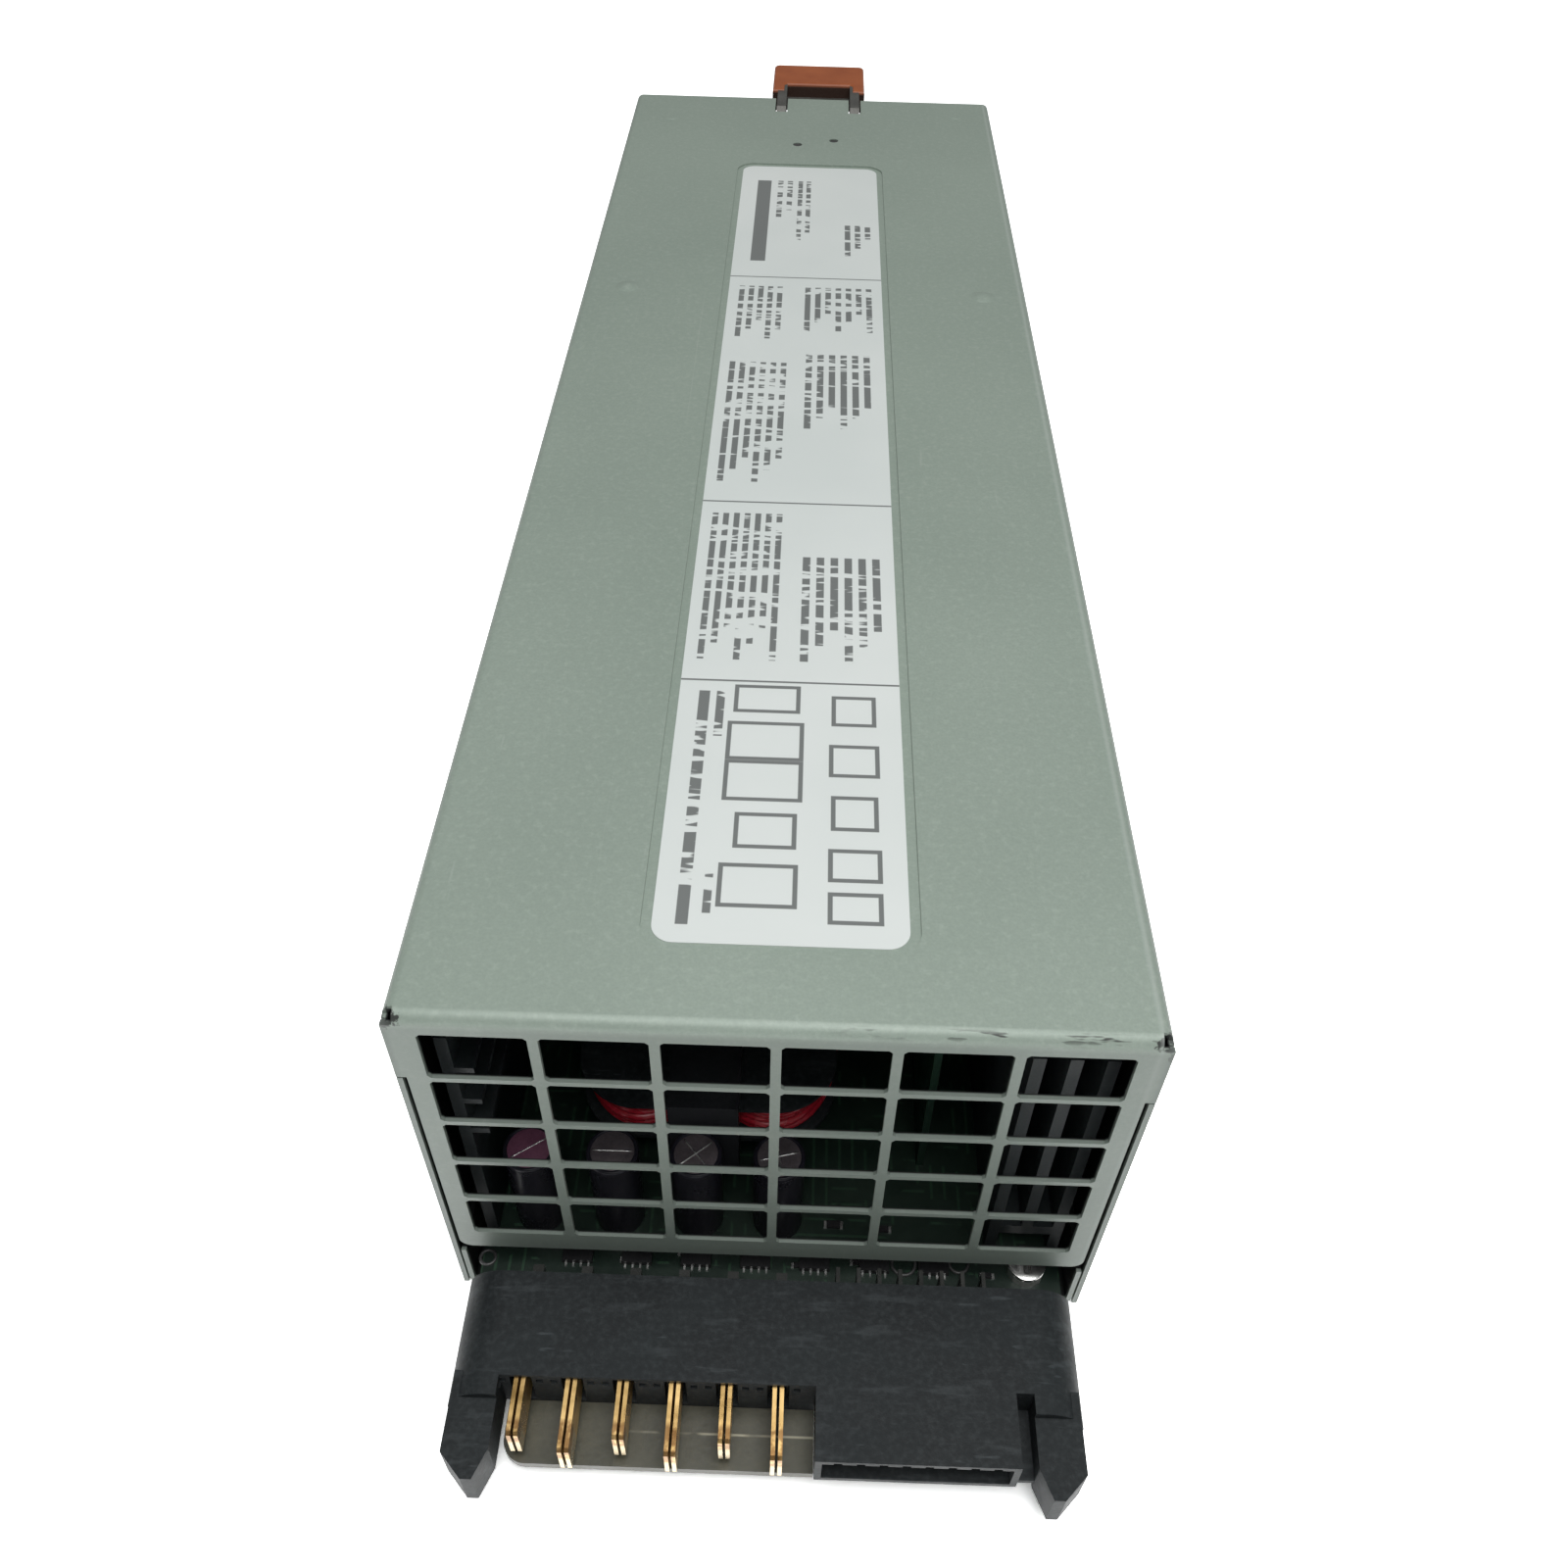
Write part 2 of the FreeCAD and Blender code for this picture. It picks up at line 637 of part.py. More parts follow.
def make_main_board():
    """The circuit board, whose tongue runs out under the power blades."""
    insulator = piece("insulator_sheet")
    insulator.pad("XY", "sheet_steel", "sheet_steel + insulator_thick",
                  rectangle(f"-{BOARD_HALF}", f"{FRONT} + 2", BOARD_HALF, BOARD_END))
    room = "(standoff_radius + fit_gap)"
    insulator.cut("XY", "sheet_steel - 0.5", "sheet_steel + insulator_thick + 0.5",
                  *[rectangle(f"{x} - {room}", f"{y} - {room}", f"{x} + {room}", f"{y} + {room}")
                    for x, y in BOARD_SCREWS])

    board = piece("main_board")
    step, tip = f"({FRONT} - housing_front + 1.5)", f"({FRONT} - tongue_reach)"
    board.pad("XY", "board_level", BOARD_TOP, polygon(
        (f"-{BOARD_HALF}", BOARD_END), (f"-{BOARD_HALF}", step), ("-tongue_left", step),
        ("-tongue_left", tip), ("tongue_right", tip), ("tongue_right", step), (BOARD_HALF, step),
        (BOARD_HALF, BOARD_END)))
    left, tip_at = number("-tongue_left"), number(tip)
    board.soften("Fillet", "tongue_corner", lambda edge: edge_at(edge, "z", x=left, y=tip_at))
    bores = [regular(x, y, "board_screw_radius + 0.3") for x, y in BOARD_SCREWS]
    board.cut("XY", f"board_level - {OVER}", f"{BOARD_TOP} + {OVER}", *bores)

    standoff = pattern_piece("standoff")
    standoff.pad("XY", "0", "board_level - sheet_steel", regular("0", "0", "standoff_radius", 6))
    screw = pattern_piece("board_screw")
    screw.pad("XY", "0", "1.9", regular("0", "0", "board_screw_head"))
    screw.pad("XY", "-board_thick", "0.1", regular("0", "0", "board_screw_radius"))
    cut_cross(screw, "1.9", "1.0", "board_screw_head * 0.5")
    group("board_standoffs", [(standoff, spot(x, y, "sheet_steel")) for x, y in BOARD_SCREWS])
    group("board_screws", [(screw, spot(x, y, BOARD_TOP)) for x, y in BOARD_SCREWS])


def cut_cross(screw, top, depth, arm):
    """A cross recess in a screw's head."""
    screw.cut("XY", f"{top} - {depth}", f"{top} + {OVER}", rectangle(f"-{arm}", "-0.35", arm, "0.35"))
    screw.cut("XY", f"{top} - {depth}", f"{top} + {OVER}", rectangle("-0.35", f"-{arm}", "0.35", arm))


# ---------------------------------------------------------------- power connector


def make_connector():
    """Moulded housing with guide posts, blade slots and the signal shroud."""
    housing = piece("connector_housing")
    rear, front = f"({FRONT} - housing_rear)", f"({FRONT} - housing_front)"
    housing.pad("XZ", front, rear, rectangle("-housing_half", BOARD_TOP, "housing_half", "housing_top"))
    for sign in (-1, 1):
        housing.pad("XZ", f"{front} - end_block", f"{front} + 1",
                    rectangle(f"{sign} * housing_half", BOARD_TOP, f"{sign} * post_inner", "housing_top"))
    side, top = number("housing_half"), number("housing_top")
    housing.soften("Fillet", "housing_shoulder", lambda edge: edge_at(edge, "y", z=top)
                   and near(abs(edge.CenterOfMass.x), side))
    for sign in (-1, 1):
        middle = "(post_inner / 2 + post_outer / 2 - 0.9)"
        housing.pad("XY", BOARD_TOP, "post_top", polygon(
            (f"{sign} * post_inner", f"{front} + 1"), (f"{sign} * post_inner", f"{FRONT} - post_shoulder"),
            (f"{sign} * ({middle} - post_tip / 2)", f"{FRONT} - post_reach"),
            (f"{sign} * ({middle} + post_tip / 2)", f"{FRONT} - post_reach"),
            (f"{sign} * post_outer", f"{FRONT} - post_shoulder - 0.6"), (f"{sign} * post_outer", f"{front} + 1")))
    shroud_front = f"({FRONT} - shroud_reach)"
    housing.pad("XZ", shroud_front, f"{front} + 0.5",
                rectangle("shroud_left", "shroud_bottom", "shroud_right", "housing_top"))
    housing.pad("XY", "shroud_bottom", "shroud_bottom + shroud_wall",
                rectangle("shroud_right - 0.1", f"{FRONT} - post_shoulder", "post_inner + 0.1", f"{front} + 0.5"))
    floor, ceiling = "(shroud_bottom + shroud_wall)", "(housing_top - shroud_wall)"
    housing.cut("XZ", f"{shroud_front} - {OVER}", f"{front} - 0.4",
                rectangle("shroud_left + shroud_wall", floor, "shroud_right - shroud_wall", ceiling))
    key = housing.cut("XZ", f"{shroud_front} - {OVER}", f"{shroud_front} + 3",
                      rectangle(f"{PIN_FIRST} - 0.6", f"{ceiling} - 0.1", f"{PIN_FIRST} + 0.6", f"{ceiling} + 0.45"))
    housing.repeat(key, "H_Axis", "pin_pitch", "pin_columns")
    for row in range(round(number("pin_rows"))):
        up = f"({PIN_LOW} + {row} * pin_row_pitch)"
        hole = housing.cut("XZ", f"{front} - {OVER}", f"{rear} + {OVER}",
                           rectangle(f"{PIN_FIRST} - {PIN_HOLE}", f"{up} - {PIN_HOLE}",
                                     f"{PIN_FIRST} + {PIN_HOLE}", f"{up} + {PIN_HOLE}"))
        housing.repeat(hole, "H_Axis", "pin_pitch", "pin_columns")
    for low, high, shapes in (
            (f"{front} - {OVER}", f"{rear} + {OVER}", [slot_at("-blade_first", "1.2", "blade_bottom - 0.3", "blade_top - 0.7")]),
            (f"{front} - {OVER}", f"{front} + 1.4", [slot_at("-blade_first", "1.6", "blade_bottom - 0.6",
                                                             "housing_top - 0.5")]),
            (f"{front} - {OVER}", f"{front} + 1.2", [slot_at("-blade_first - 2.7", "0.5", "housing_top - 2.6",
                                                             "housing_top - 1.4"),
                                                     slot_at("-blade_first + 2.7", "0.5", "housing_top - 2.6",
                                                             "housing_top - 1.4")])):
        first = housing.cut("XZ", low, high, *shapes)
        housing.repeat(first, "H_Axis", "blade_pitch", "blade_count")


def slot_at(across, half, low, high):
    return rectangle(f"{across} - {half}", low, f"{across} + {half}", high)


PIN_FIRST = "((shroud_left + shroud_right - (pin_columns - 1) * pin_pitch) / 2)"
PIN_LOW = "(shroud_bottom / 2 + housing_top / 2 - (pin_rows - 1) * pin_row_pitch / 2)"
PIN_HOLE = "(pin_size / 2 + 0.03)"


def make_power_blades():
    """Six pairs of parallel contact blades, short and long in turn, each folded from one strip."""
    for index in range(round(number("blade_count"))):
        reach = "long_blade" if index % 2 else "short_blade"
        contact = piece(f"power_blade_{index + 1}")
        tip, bend, step = f"({FRONT} - {reach})", f"({FRONT} - housing_rear + 2)", f"({FRONT} - housing_front + 1)"
        for side in (-1, 1):
            contact.pad("YZ", *levels(side, "blade_space / 2", "blade_space / 2 + blade_thick"), polygon(
                (tip, "blade_bottom + blade_chamfer"), (f"{tip} + blade_chamfer", "blade_bottom"),
                (f"{bend} - 1.6", "blade_bottom"), (f"{bend} - 1.6", BOARD_TOP), (bend, BOARD_TOP),
                (bend, "blade_top - 1"), (step, "blade_top - 1"), (step, "blade_top"),
                (f"{tip} + blade_chamfer", "blade_top"), (tip, "blade_top - blade_chamfer")))
            if side < 0:
                contact.pad("YZ", "-blade_space / 2 - 0.1", "blade_space / 2 + 0.1",
                            rectangle(f"{bend} - 1.6", "blade_top - 4", bend, "blade_top - 1"))
        contact.place(across=f"-blade_first + {index} * blade_pitch")


def make_signal_pins():
    """Square pins in rows, each bent down to the board behind the housing."""
    copies = []
    for row in range(round(number("pin_rows"))):
        pin = pattern_piece(f"signal_pin_row_{row + 1}")
        up, half = f"({PIN_LOW} + {row} * pin_row_pitch)", "pin_size / 2"
        back = f"({FRONT} - housing_rear + 1 + {row} * 1.1)"
        pin.pad("YZ", f"-{half}", half, polygon(
            (f"{FRONT} - pin_reach", f"{up} - {half}"), (f"{back} - pin_size", f"{up} - {half}"),
            (f"{back} - pin_size", BOARD_TOP), (back, BOARD_TOP), (back, f"{up} + {half}"),
            (f"{FRONT} - pin_reach", f"{up} + {half}")))
        for column in range(round(number("pin_columns"))):
            copies.append((pin, spot(f"{PIN_FIRST} + {column} * pin_pitch", "0", "0")))
    group("signal_pins", copies)


# ---------------------------------------------------------------- output stage


def make_capacitor(label, radius, height, across, along):
    """A plain can; its sleeve, rim and vent are too fine for the solid."""
    can = piece(label)
    can.pad("XY", "0", height, circle("0", "0", radius))
    can.place(across, along, BOARD_TOP)


def make_output_choke():
    """An oblong coil on a flanged bobbin between two halves of a ferrite core."""
    spot_x, spot_y = "-choke_x", f"{FRONT} + choke_place"
    wide, deep = "coil_half_width", "coil_half_depth"
    coil_top = "(coil_bottom + 2 * coil_wire * coil_turns)"
    low, high = "(coil_bottom - flange_thick)", f"({coil_top} + flange_thick)"
    leg_in, leg_out = f"({deep} + flange_lip + core_gap)", f"({deep} + flange_lip + core_gap + core_leg)"
    split = f"({low} / 2 + {high} / 2)"

    tube_wide, tube_deep = "(core_half_width + 0.1 + bobbin_wall)", "(core_post_depth + 0.1 + bobbin_wall)"
    bobbin = piece("choke_bobbin")
    bobbin.pad("XY", low, "coil_bottom", rounded(f"-({wide} + flange_lip)", f"-({deep} + flange_lip)",
                                                 f"{wide} + flange_lip", f"{deep} + flange_lip", "coil_corner"))
    bobbin.pad("XY", "coil_bottom - 0.1", f"{coil_top} + 0.1",
               rectangle(f"-{tube_wide}", f"-{tube_deep}", tube_wide, tube_deep))
    bobbin.pad("XY", coil_top, high, rounded(f"-({wide} + flange_lip)", f"-({deep} + flange_lip)",
                                             f"{wide} + flange_lip", f"{deep} + flange_lip", "coil_corner"))
    for side in (-1, 1):
        bobbin.pad("XY", BOARD_TOP, f"{low} + 0.1",
                   rectangle(f"{side} * (core_half_width + 1)", "-6", f"{side} * (core_half_width + 7)", "6"))
    bobbin.cut("XY", f"{low} - {OVER}", f"{high} + {OVER}",
               rectangle("-(core_half_width + 0.1)", "-(core_post_depth + 0.1)",
                         "core_half_width + 0.1", "core_post_depth + 0.1"))
    bobbin.place(spot_x, spot_y)

    for label, start, end, plate_low, plate_high in (
            ("choke_core_lower", low, split, f"{low} - core_plate", low),
            ("choke_core_upper", split, high, high, f"{high} + core_plate")):
        core = piece(label)
        core.pad("XY", plate_low, plate_high,
                 rectangle("-core_half_width", f"-{leg_out}", "core_half_width", leg_out))
        core.pad("XY", start, end, rectangle("-core_half_width", "-core_post_depth",
                                             "core_half_width", "core_post_depth"))
        for side in (-1, 1):
            core.pad("XY", start, end, rectangle("-core_half_width", f"{side} * {leg_in}",
                                                 "core_half_width", f"{side} * {leg_out}"))
        core.place(spot_x, spot_y)

    winding = piece("choke_winding")
    winding.pad("XY", "coil_bottom", coil_top, rounded(f"-{wide}", f"-{deep}", wide, deep, "coil_corner"),
                rectangle(f"-({tube_wide} + 0.2)", f"-({tube_deep} + 0.2)", f"{tube_wide} + 0.2",
                          f"{tube_deep} + 0.2"))
    winding.place(spot_x, spot_y)


# ---------------------------------------------------------------- converter stage


def make_transformer():
    """A ferrite core with two windows and the winding round its middle leg."""
    core = piece("transformer_core")
    half, leg = "(transformer_width / 2)", "6"
    windows = [rectangle(f"{side} * {leg}", "6", f"{side} * ({half} - {leg})", "transformer_height - 6")
               for side in (-1, 1)]
    core.pad("XZ", "-8", "8", rectangle(f"-{half}", "0", half, "transformer_height"), *windows)
    core.place("-transformer_x", f"{FRONT} + transformer_place", BOARD_TOP)
    winding = piece("transformer_winding")
    winding.pad("XY", "6.4", "transformer_height - 6.4",
                rounded(f"-({half} - {leg} - 0.4)", "-15", f"{half} - {leg} - 0.4", "15", "5"),
                rectangle(f"-({leg} + 0.3)", "-8.3", f"{leg} + 0.3", "8.3"))
    winding.place("-transformer_x", f"{FRONT} + transformer_place", BOARD_TOP)


def make_heatsinks():
    """Extruded aluminium: a ribbed wall at the left, upright fins on a base at the right."""
    start, end = f"({FRONT} + heatsink_start)", f"({FRONT} + heatsink_start + heatsink_length)"
    left = piece("heatsink_left")
    back, face = f"-{BOARD_HALF}", f"(-{BOARD_HALF} + heatsink_wall)"
    outline = [(back, BOARD_TOP), (face, BOARD_TOP)]
    for rib in range(3):
        low = f"({BOARD_TOP} + 31 + {rib} * 8)"
        outline += [(face, low), (f"{face} + fin_depth", low),
                    (f"{face} + fin_depth", f"{low} + fin_thick"), (face, f"{low} + fin_thick")]
    outline += [(face, "heatsink_top"), (back, "heatsink_top")]
    left.pad("XZ", start, end, polygon(*outline))

    right = piece("heatsink_right")
    deck, floor = f"({BOARD_TOP} + 8)", f"({BOARD_TOP} + 5.5)"
    edge = BOARD_HALF
    fins = ["0", "5", "10"]
    outline = [(edge, BOARD_TOP), (edge, "heatsink_top")]
    for place in fins:
        inner = f"({edge} - {place} - heatsink_wall)"
        outline += [(inner, "heatsink_top"), (inner, deck)]
        if place != fins[-1]:
            outer = f"({edge} - {place} - 5)"
            outline += [(outer, deck), (outer, "heatsink_top")]
    last = f"({edge} - {fins[-1]} - heatsink_wall)"
    outline[-1] = (last, BOARD_TOP)
    outline += [(f"{last} + heatsink_wall", BOARD_TOP), (f"{last} + heatsink_wall", floor),
                (f"{edge} - heatsink_wall", floor), (f"{edge} - heatsink_wall", BOARD_TOP)]
    right.pad("XZ", start, end, polygon(*outline))

    transistor = pattern_piece("transistor")
    transistor.pad("XY", "8", "29", rectangle("0", "-8", "4.8", "8"))
    for place in (-1, 0, 1):
        transistor.pad("XY", "0", "8.1", rectangle("1.8", f"{place} * 5.4 - 0.6", "2.6", f"{place} * 5.4 + 0.6"))
    group("power_transistors", [(transistor, spot(face, f"{FRONT} + 60 + {k} * 19", BOARD_TOP))
                                for k in range(3)])


def make_control_board():
    """An upright daughter board with its chips."""
    board = piece("control_board")
    start, end = f"({FRONT} + control_place)", f"({FRONT} + control_place + control_length)"
    board.pad("YZ", "control_x", "control_x + control_thick", polygon(
        (start, BOARD_TOP), (end, BOARD_TOP), (end, f"{BOARD_TOP} + control_height - 8"),
        (f"{end} - 8", f"{BOARD_TOP} + control_height"), (start, f"{BOARD_TOP} + control_height")))
    chip = pattern_piece("control_chip")
    chip.pad("YZ", "0", "1.5", rectangle("-5", "-5", "5", "5"))
    group("control_chips", [(chip, spot("control_x + control_thick", f"{start} + {12 + 18 * k}",
                                        f"{BOARD_TOP} + {14 + 10 * (k % 2)}")) for k in range(4)])


def make_line_parts():
    """Mains filter capacitors, rectifier and small parts at the board's edge."""
    film = pattern_piece("film_capacitor")
    film.pad("XY", "0", "20", cut_corners("-13", "-5.5", "13", "5.5", "1"))
    group("film_capacitors", [(film, spot("casing_width / 2 - 24", f"{BOARD_END} - {14 + 15 * k}", BOARD_TOP)) for k in range(2)])
    bridge = piece("bridge_rectifier")
    bridge.pad("XZ", "0", "6", rectangle("-15", "4", "15", "24"), circle("0", "17", "1.8"))
    for place in (-1.5, -0.5, 0.5, 1.5):
        bridge.pad("XZ", "2.5", "3.5", rectangle(f"{place} * 7.5 - 0.7", "0", f"{place} * 7.5 + 0.7", "4.1"))
    bridge.place("casing_width / 2 - 26", f"{REAR} - 138", BOARD_TOP)
    chip = pattern_piece("surface_chip")
    chip.pad("XY", "0", "1.1", rectangle("-2.4", "-1.4", "2.4", "1.4"))
    group("surface_chips", [(chip, spot(f"casing_width * {-0.31 + 0.095 * k:.3f}", f"{FRONT} + 2", BOARD_TOP)) for k in range(7)])


# ---------------------------------------------------------------- fan


def make_fan():
    """Square frame with a motor mount on struts and a bladed rotor on its shaft."""
    frame = piece("fan_frame")
    half = "(fan_size / 2)"
    holes = [regular(f"{a} * fan_hole_spread / 2", f"{b} * fan_hole_spread / 2", "fan_hole")
             for a in (-1, 1) for b in (-1, 1)]
    frame.pad("XZ", FAN_BACK, FAN_FACE, cut_corners(f"-{half}", f"-{half}", half, half, "2.5"),
              circle("0", "0", "fan_bore"), *holes)
    for turn in range(4):
        strut = frame.pad("XZ", FAN_BACK, f"{FAN_BACK} + 2.5", rectangle("12", "-1.5", "fan_bore + 0.6", "1.5"))
        strut.Profile[0].AttachmentOffset.Rotation = FreeCAD.Rotation(FreeCAD.Vector(0, 0, 1), 45 + 90 * turn)
    frame.pad("XZ", FAN_BACK, f"{FAN_BACK} + 3", circle("0", "0", "rotor_hub - 0.5"),
              circle("0", "0", "shaft_radius + shaft_play"))
    frame.pad("XZ", f"{FAN_BACK} + 2.9", f"{FAN_BACK} + 16", regular("0", "0", "4", 24),
              circle("0", "0", "shaft_radius + shaft_play"))
    frame.place("-fan_x", "0", "fan_level")

    shaft = doc.addObject("Part::Cylinder", "fan_shaft")
    shaft.Label = "fan_shaft"
    bind(shaft, "Radius", "shaft_radius")
    bind(shaft, "Height", "fan_depth - 4.6")
    shaft.Placement.Rotation = FreeCAD.Rotation(FreeCAD.Vector(1, 0, 0), -90)
    bind(shaft, "Placement.Base.x", "-fan_x")
    bind(shaft, "Placement.Base.y", f"{FAN_BACK} + 0.8")
    bind(shaft, "Placement.Base.z", "fan_level")
    parts["fan_shaft"] = shaft

    hub = number("rotor_hub")
    rear, face = number(f"{FAN_BACK} + 4"), number(f"{FAN_FACE} - 1.6")
    along = FreeCAD.Vector(0, 1, 0)
    cup = Part.makeCylinder(hub, face - rear, FreeCAD.Vector(0, rear, 0), along)
    cup = cup.makeChamfer(1.2, [edge for edge in cup.Edges if near(edge.CenterOfMass.y, face)])
    cup = cup.cut(Part.makeCylinder(hub - 1.6, face - rear - 2.2, FreeCAD.Vector(0, rear, 0), along))
    blades = [rotor_blade(turn, rear + 1.5, face - 2.5) for turn in range(round(number("rotor_blades")))]
    rotor = solid_feature("fan_rotor", cup.fuse(blades).removeSplitter())
    rotor.Placement = spot("-fan_x", "0", "fan_level")


def rotor_blade(turn, rear, face):
    """A leaning, cambered blade of even section, swept back a little towards its tip."""
    reach, sheet = (face - rear) / 2, number("blade_sheet")
    angle = 2 * math.pi * turn / number("rotor_blades")
    outward = FreeCAD.Vector(math.cos(angle), 0, math.sin(angle))
    around = FreeCAD.Vector(-math.sin(angle), 0, math.cos(angle))
    lean = reach * math.tan(math.radians(40))
    slant = around * lean + FreeCAD.Vector(0, reach, 0)
    normal = outward.cross(slant).normalize()
    half, rise = normal * (sheet / 2), normal * (reach * 0.16)
    sections = []
    for radius, sweep in ((number("rotor_hub") - 0.5, 0), (number("rotor_tip"), 2.5)):
        out = math.sqrt(radius ** 2 - (lean + sheet + sweep) ** 2)
        middle = outward * out + around * sweep + FreeCAD.Vector(0, (rear + face) / 2, 0)
        corners = [middle - slant - half, middle + rise - half, middle + slant - half,
                   middle + slant + half, middle + rise + half, middle - slant + half]
        sections.append(Part.makePolygon(corners + corners[:1]))
    return Part.makeLoft(sections, True, True)


def slab(low, high, outline, *holes):
    """A flat plate between two Y levels; its outlines are lists of (x, z)."""
    wires = [Part.makePolygon([FreeCAD.Vector(x, low, z) for x, z in points + points[:1]])
             for points in (outline, *holes)]
    return Part.Face(wires).extrude(FreeCAD.Vector(0, high - low, 0))


def equal_sides(across, up, radius, sides):
    turns = [2 * math.pi * (k + 0.5) / sides for k in range(sides)]
    return [(across + radius * math.cos(turn), up + radius * math.sin(turn)) for turn in turns]


def make_fan_guard():
    """Rings welded on two crossed bars; one bar ends in lugs for the screws."""
    wire, ring = number("guard_wire"), number("fan_bore - 2.5")
    foot, lug = number(REAR), number("fan_hole_spread / 2")
    middle, hole = foot + wire, number("fan_hole + 0.1")
    bar, short = wire * math.sqrt(0.125), ring * 0.8
    pieces = [slab(foot, middle, [(-lug - bar, lug - bar), (lug - bar, -lug - bar),
                                  (lug + bar, -lug + bar), (-lug + bar, lug + bar)]),
              slab(foot, middle, [(-short - bar, -short + bar), (-short + bar, -short - bar),
                                  (short + bar, short - bar), (short - bar, short + bar)])]
    for side in (-1, 1):
        pieces.append(slab(foot, middle, equal_sides(side * lug, -side * lug, number("fan_hole + 1.7"), 8)))
    for place in range(round(number("guard_rings"))):
        radius = ring - place * number("guard_pitch")
        pieces.append(slab(middle - 0.1, middle + wire - 0.1, equal_sides(0, 0, radius + wire / 2, 36),
                           equal_sides(0, 0, radius - wire / 2, 36)))
    shape = pieces[0].fuse(pieces[1:])
    for side in (-1, 1):
        shape = shape.cut(slab(foot - 1, middle + 1, equal_sides(side * lug, -side * lug, hole, 12)))
    guard = solid_feature("fan_guard", shape.removeSplitter())
    guard.Placement = spot("-fan_x", "0", "fan_level")

    screw = pattern_piece("fan_screw")
    screw.pad("XY", "0", "1.6", regular("0", "0", "3.2"))
    screw.pad("XY", "-10", "0.1", regular("0", "0", "fan_hole - 0.05"))
    screw.soften("Chamfer", "0.6", lambda edge: near(edge.CenterOfMass.z, 1.6))
    cut_cross(screw, "1.6", "0.9", "1.7")
    group("fan_screws", [(screw, spot(across, f"{REAR} + guard_wire", up, (1, 0, 0), -90))
                         for across, up in GUARD_CORNERS])


# ---------------------------------------------------------------- mains inlet and lamps


def make_inlet():
    """Appliance inlet: a bezel outside, a body behind the plate and a keyed socket with three pins."""
    inlet = piece("inlet_housing")
    wide, tall = "(inlet_width / 2)", "(inlet_height / 2)"
    back = f"({REAR} - inlet_depth - 2)"
    inlet.pad("XZ", REAR, f"{REAR} + bezel_thick",
              rounded("-bezel_width / 2", "-bezel_height / 2", "bezel_width / 2", "bezel_height / 2", "2"))
    inlet.pad("XZ", back, f"{REAR} + 0.1", rectangle(f"-({wide} + inlet_wall)", f"-({tall} + inlet_wall)",
                                                    f"{wide} + inlet_wall", f"{tall} + inlet_wall"))
    inlet.cut("XZ", f"{back} + 2", f"{REAR} + bezel_thick + {OVER}", polygon(
        (f"-{wide}", f"-{tall}"), (wide, f"-{tall}"), (wide, f"{tall} - 4.5"), (f"{wide} - 4.5", tall),
        (f"-{wide} + 4.5", tall), (f"-{wide}", f"{tall} - 4.5")))
    places = (("-inlet_pin_spread / 2", "-inlet_pin_offset / 2"), ("0", "inlet_pin_offset / 2"),
              ("inlet_pin_spread / 2", "-inlet_pin_offset / 2"))
    thick, high = "(inlet_pin_width / 2)", "(inlet_pin_tall / 2)"
    inlet.cut("XZ", f"{back} - {OVER}", f"{back} + 3",
              *[rectangle(f"{x} - {thick} - 0.03", f"{z} - {high} - 0.03",
                          f"{x} + {thick} + 0.03", f"{z} + {high} + 0.03") for x, z in places])
    inlet.place("inlet_x", "0", "inlet_level")
    pin = pattern_piece("inlet_pin")
    pin.pad("XZ", f"{back} - 6", f"{REAR} - 2", rectangle(f"-{thick}", f"-{high}", thick, high))
    tip = number(f"{REAR} - 2")
    pin.soften("Chamfer", "0.6", lambda edge: near(edge.CenterOfMass.y, tip))
    group("inlet_pins", [(pin, spot(f"inlet_x + {x}", "0", f"inlet_level + {z}")) for x, z in places])
    bars = []
    for index, (x, z) in enumerate(places):
        bar = pattern_piece(f"busbar_{index + 1}")
        level, end = f"(inlet_level + {z} - {high})", f"({BOARD_END} - 1.8)"
        bar.pad("YZ", f"-{thick}", thick, polygon(
            (f"{back} - 1.5", level), (f"{back} - 1.5", f"{level} - 1.2"), (f"{end} + 1.2", f"{level} - 1.2"),
            (f"{end} + 1.2", BOARD_TOP), (end, BOARD_TOP), (end, level)))
        bars.append((bar, spot(f"inlet_x + {x}", "0", "0")))
    group("inlet_busbars", bars)
    for index in range(3):
        lens = piece(f"status_lens_{index + 1}")
        lens.pad("XZ", f"{REAR} - 9", f"{REAR} + 0.8",
                 rectangle("-lens_wide / 2", "-lens_tall / 2", "lens_wide / 2", "lens_tall / 2"))
        face = number(f"{REAR} + 0.8")
        lens.soften("Chamfer", "0.4", lambda edge: near(edge.CenterOfMass.y, face))
        lens.place(f"inlet_x + {index - 1} * lens_pitch", "0", "lens_level")


# ---------------------------------------------------------------- pull handle


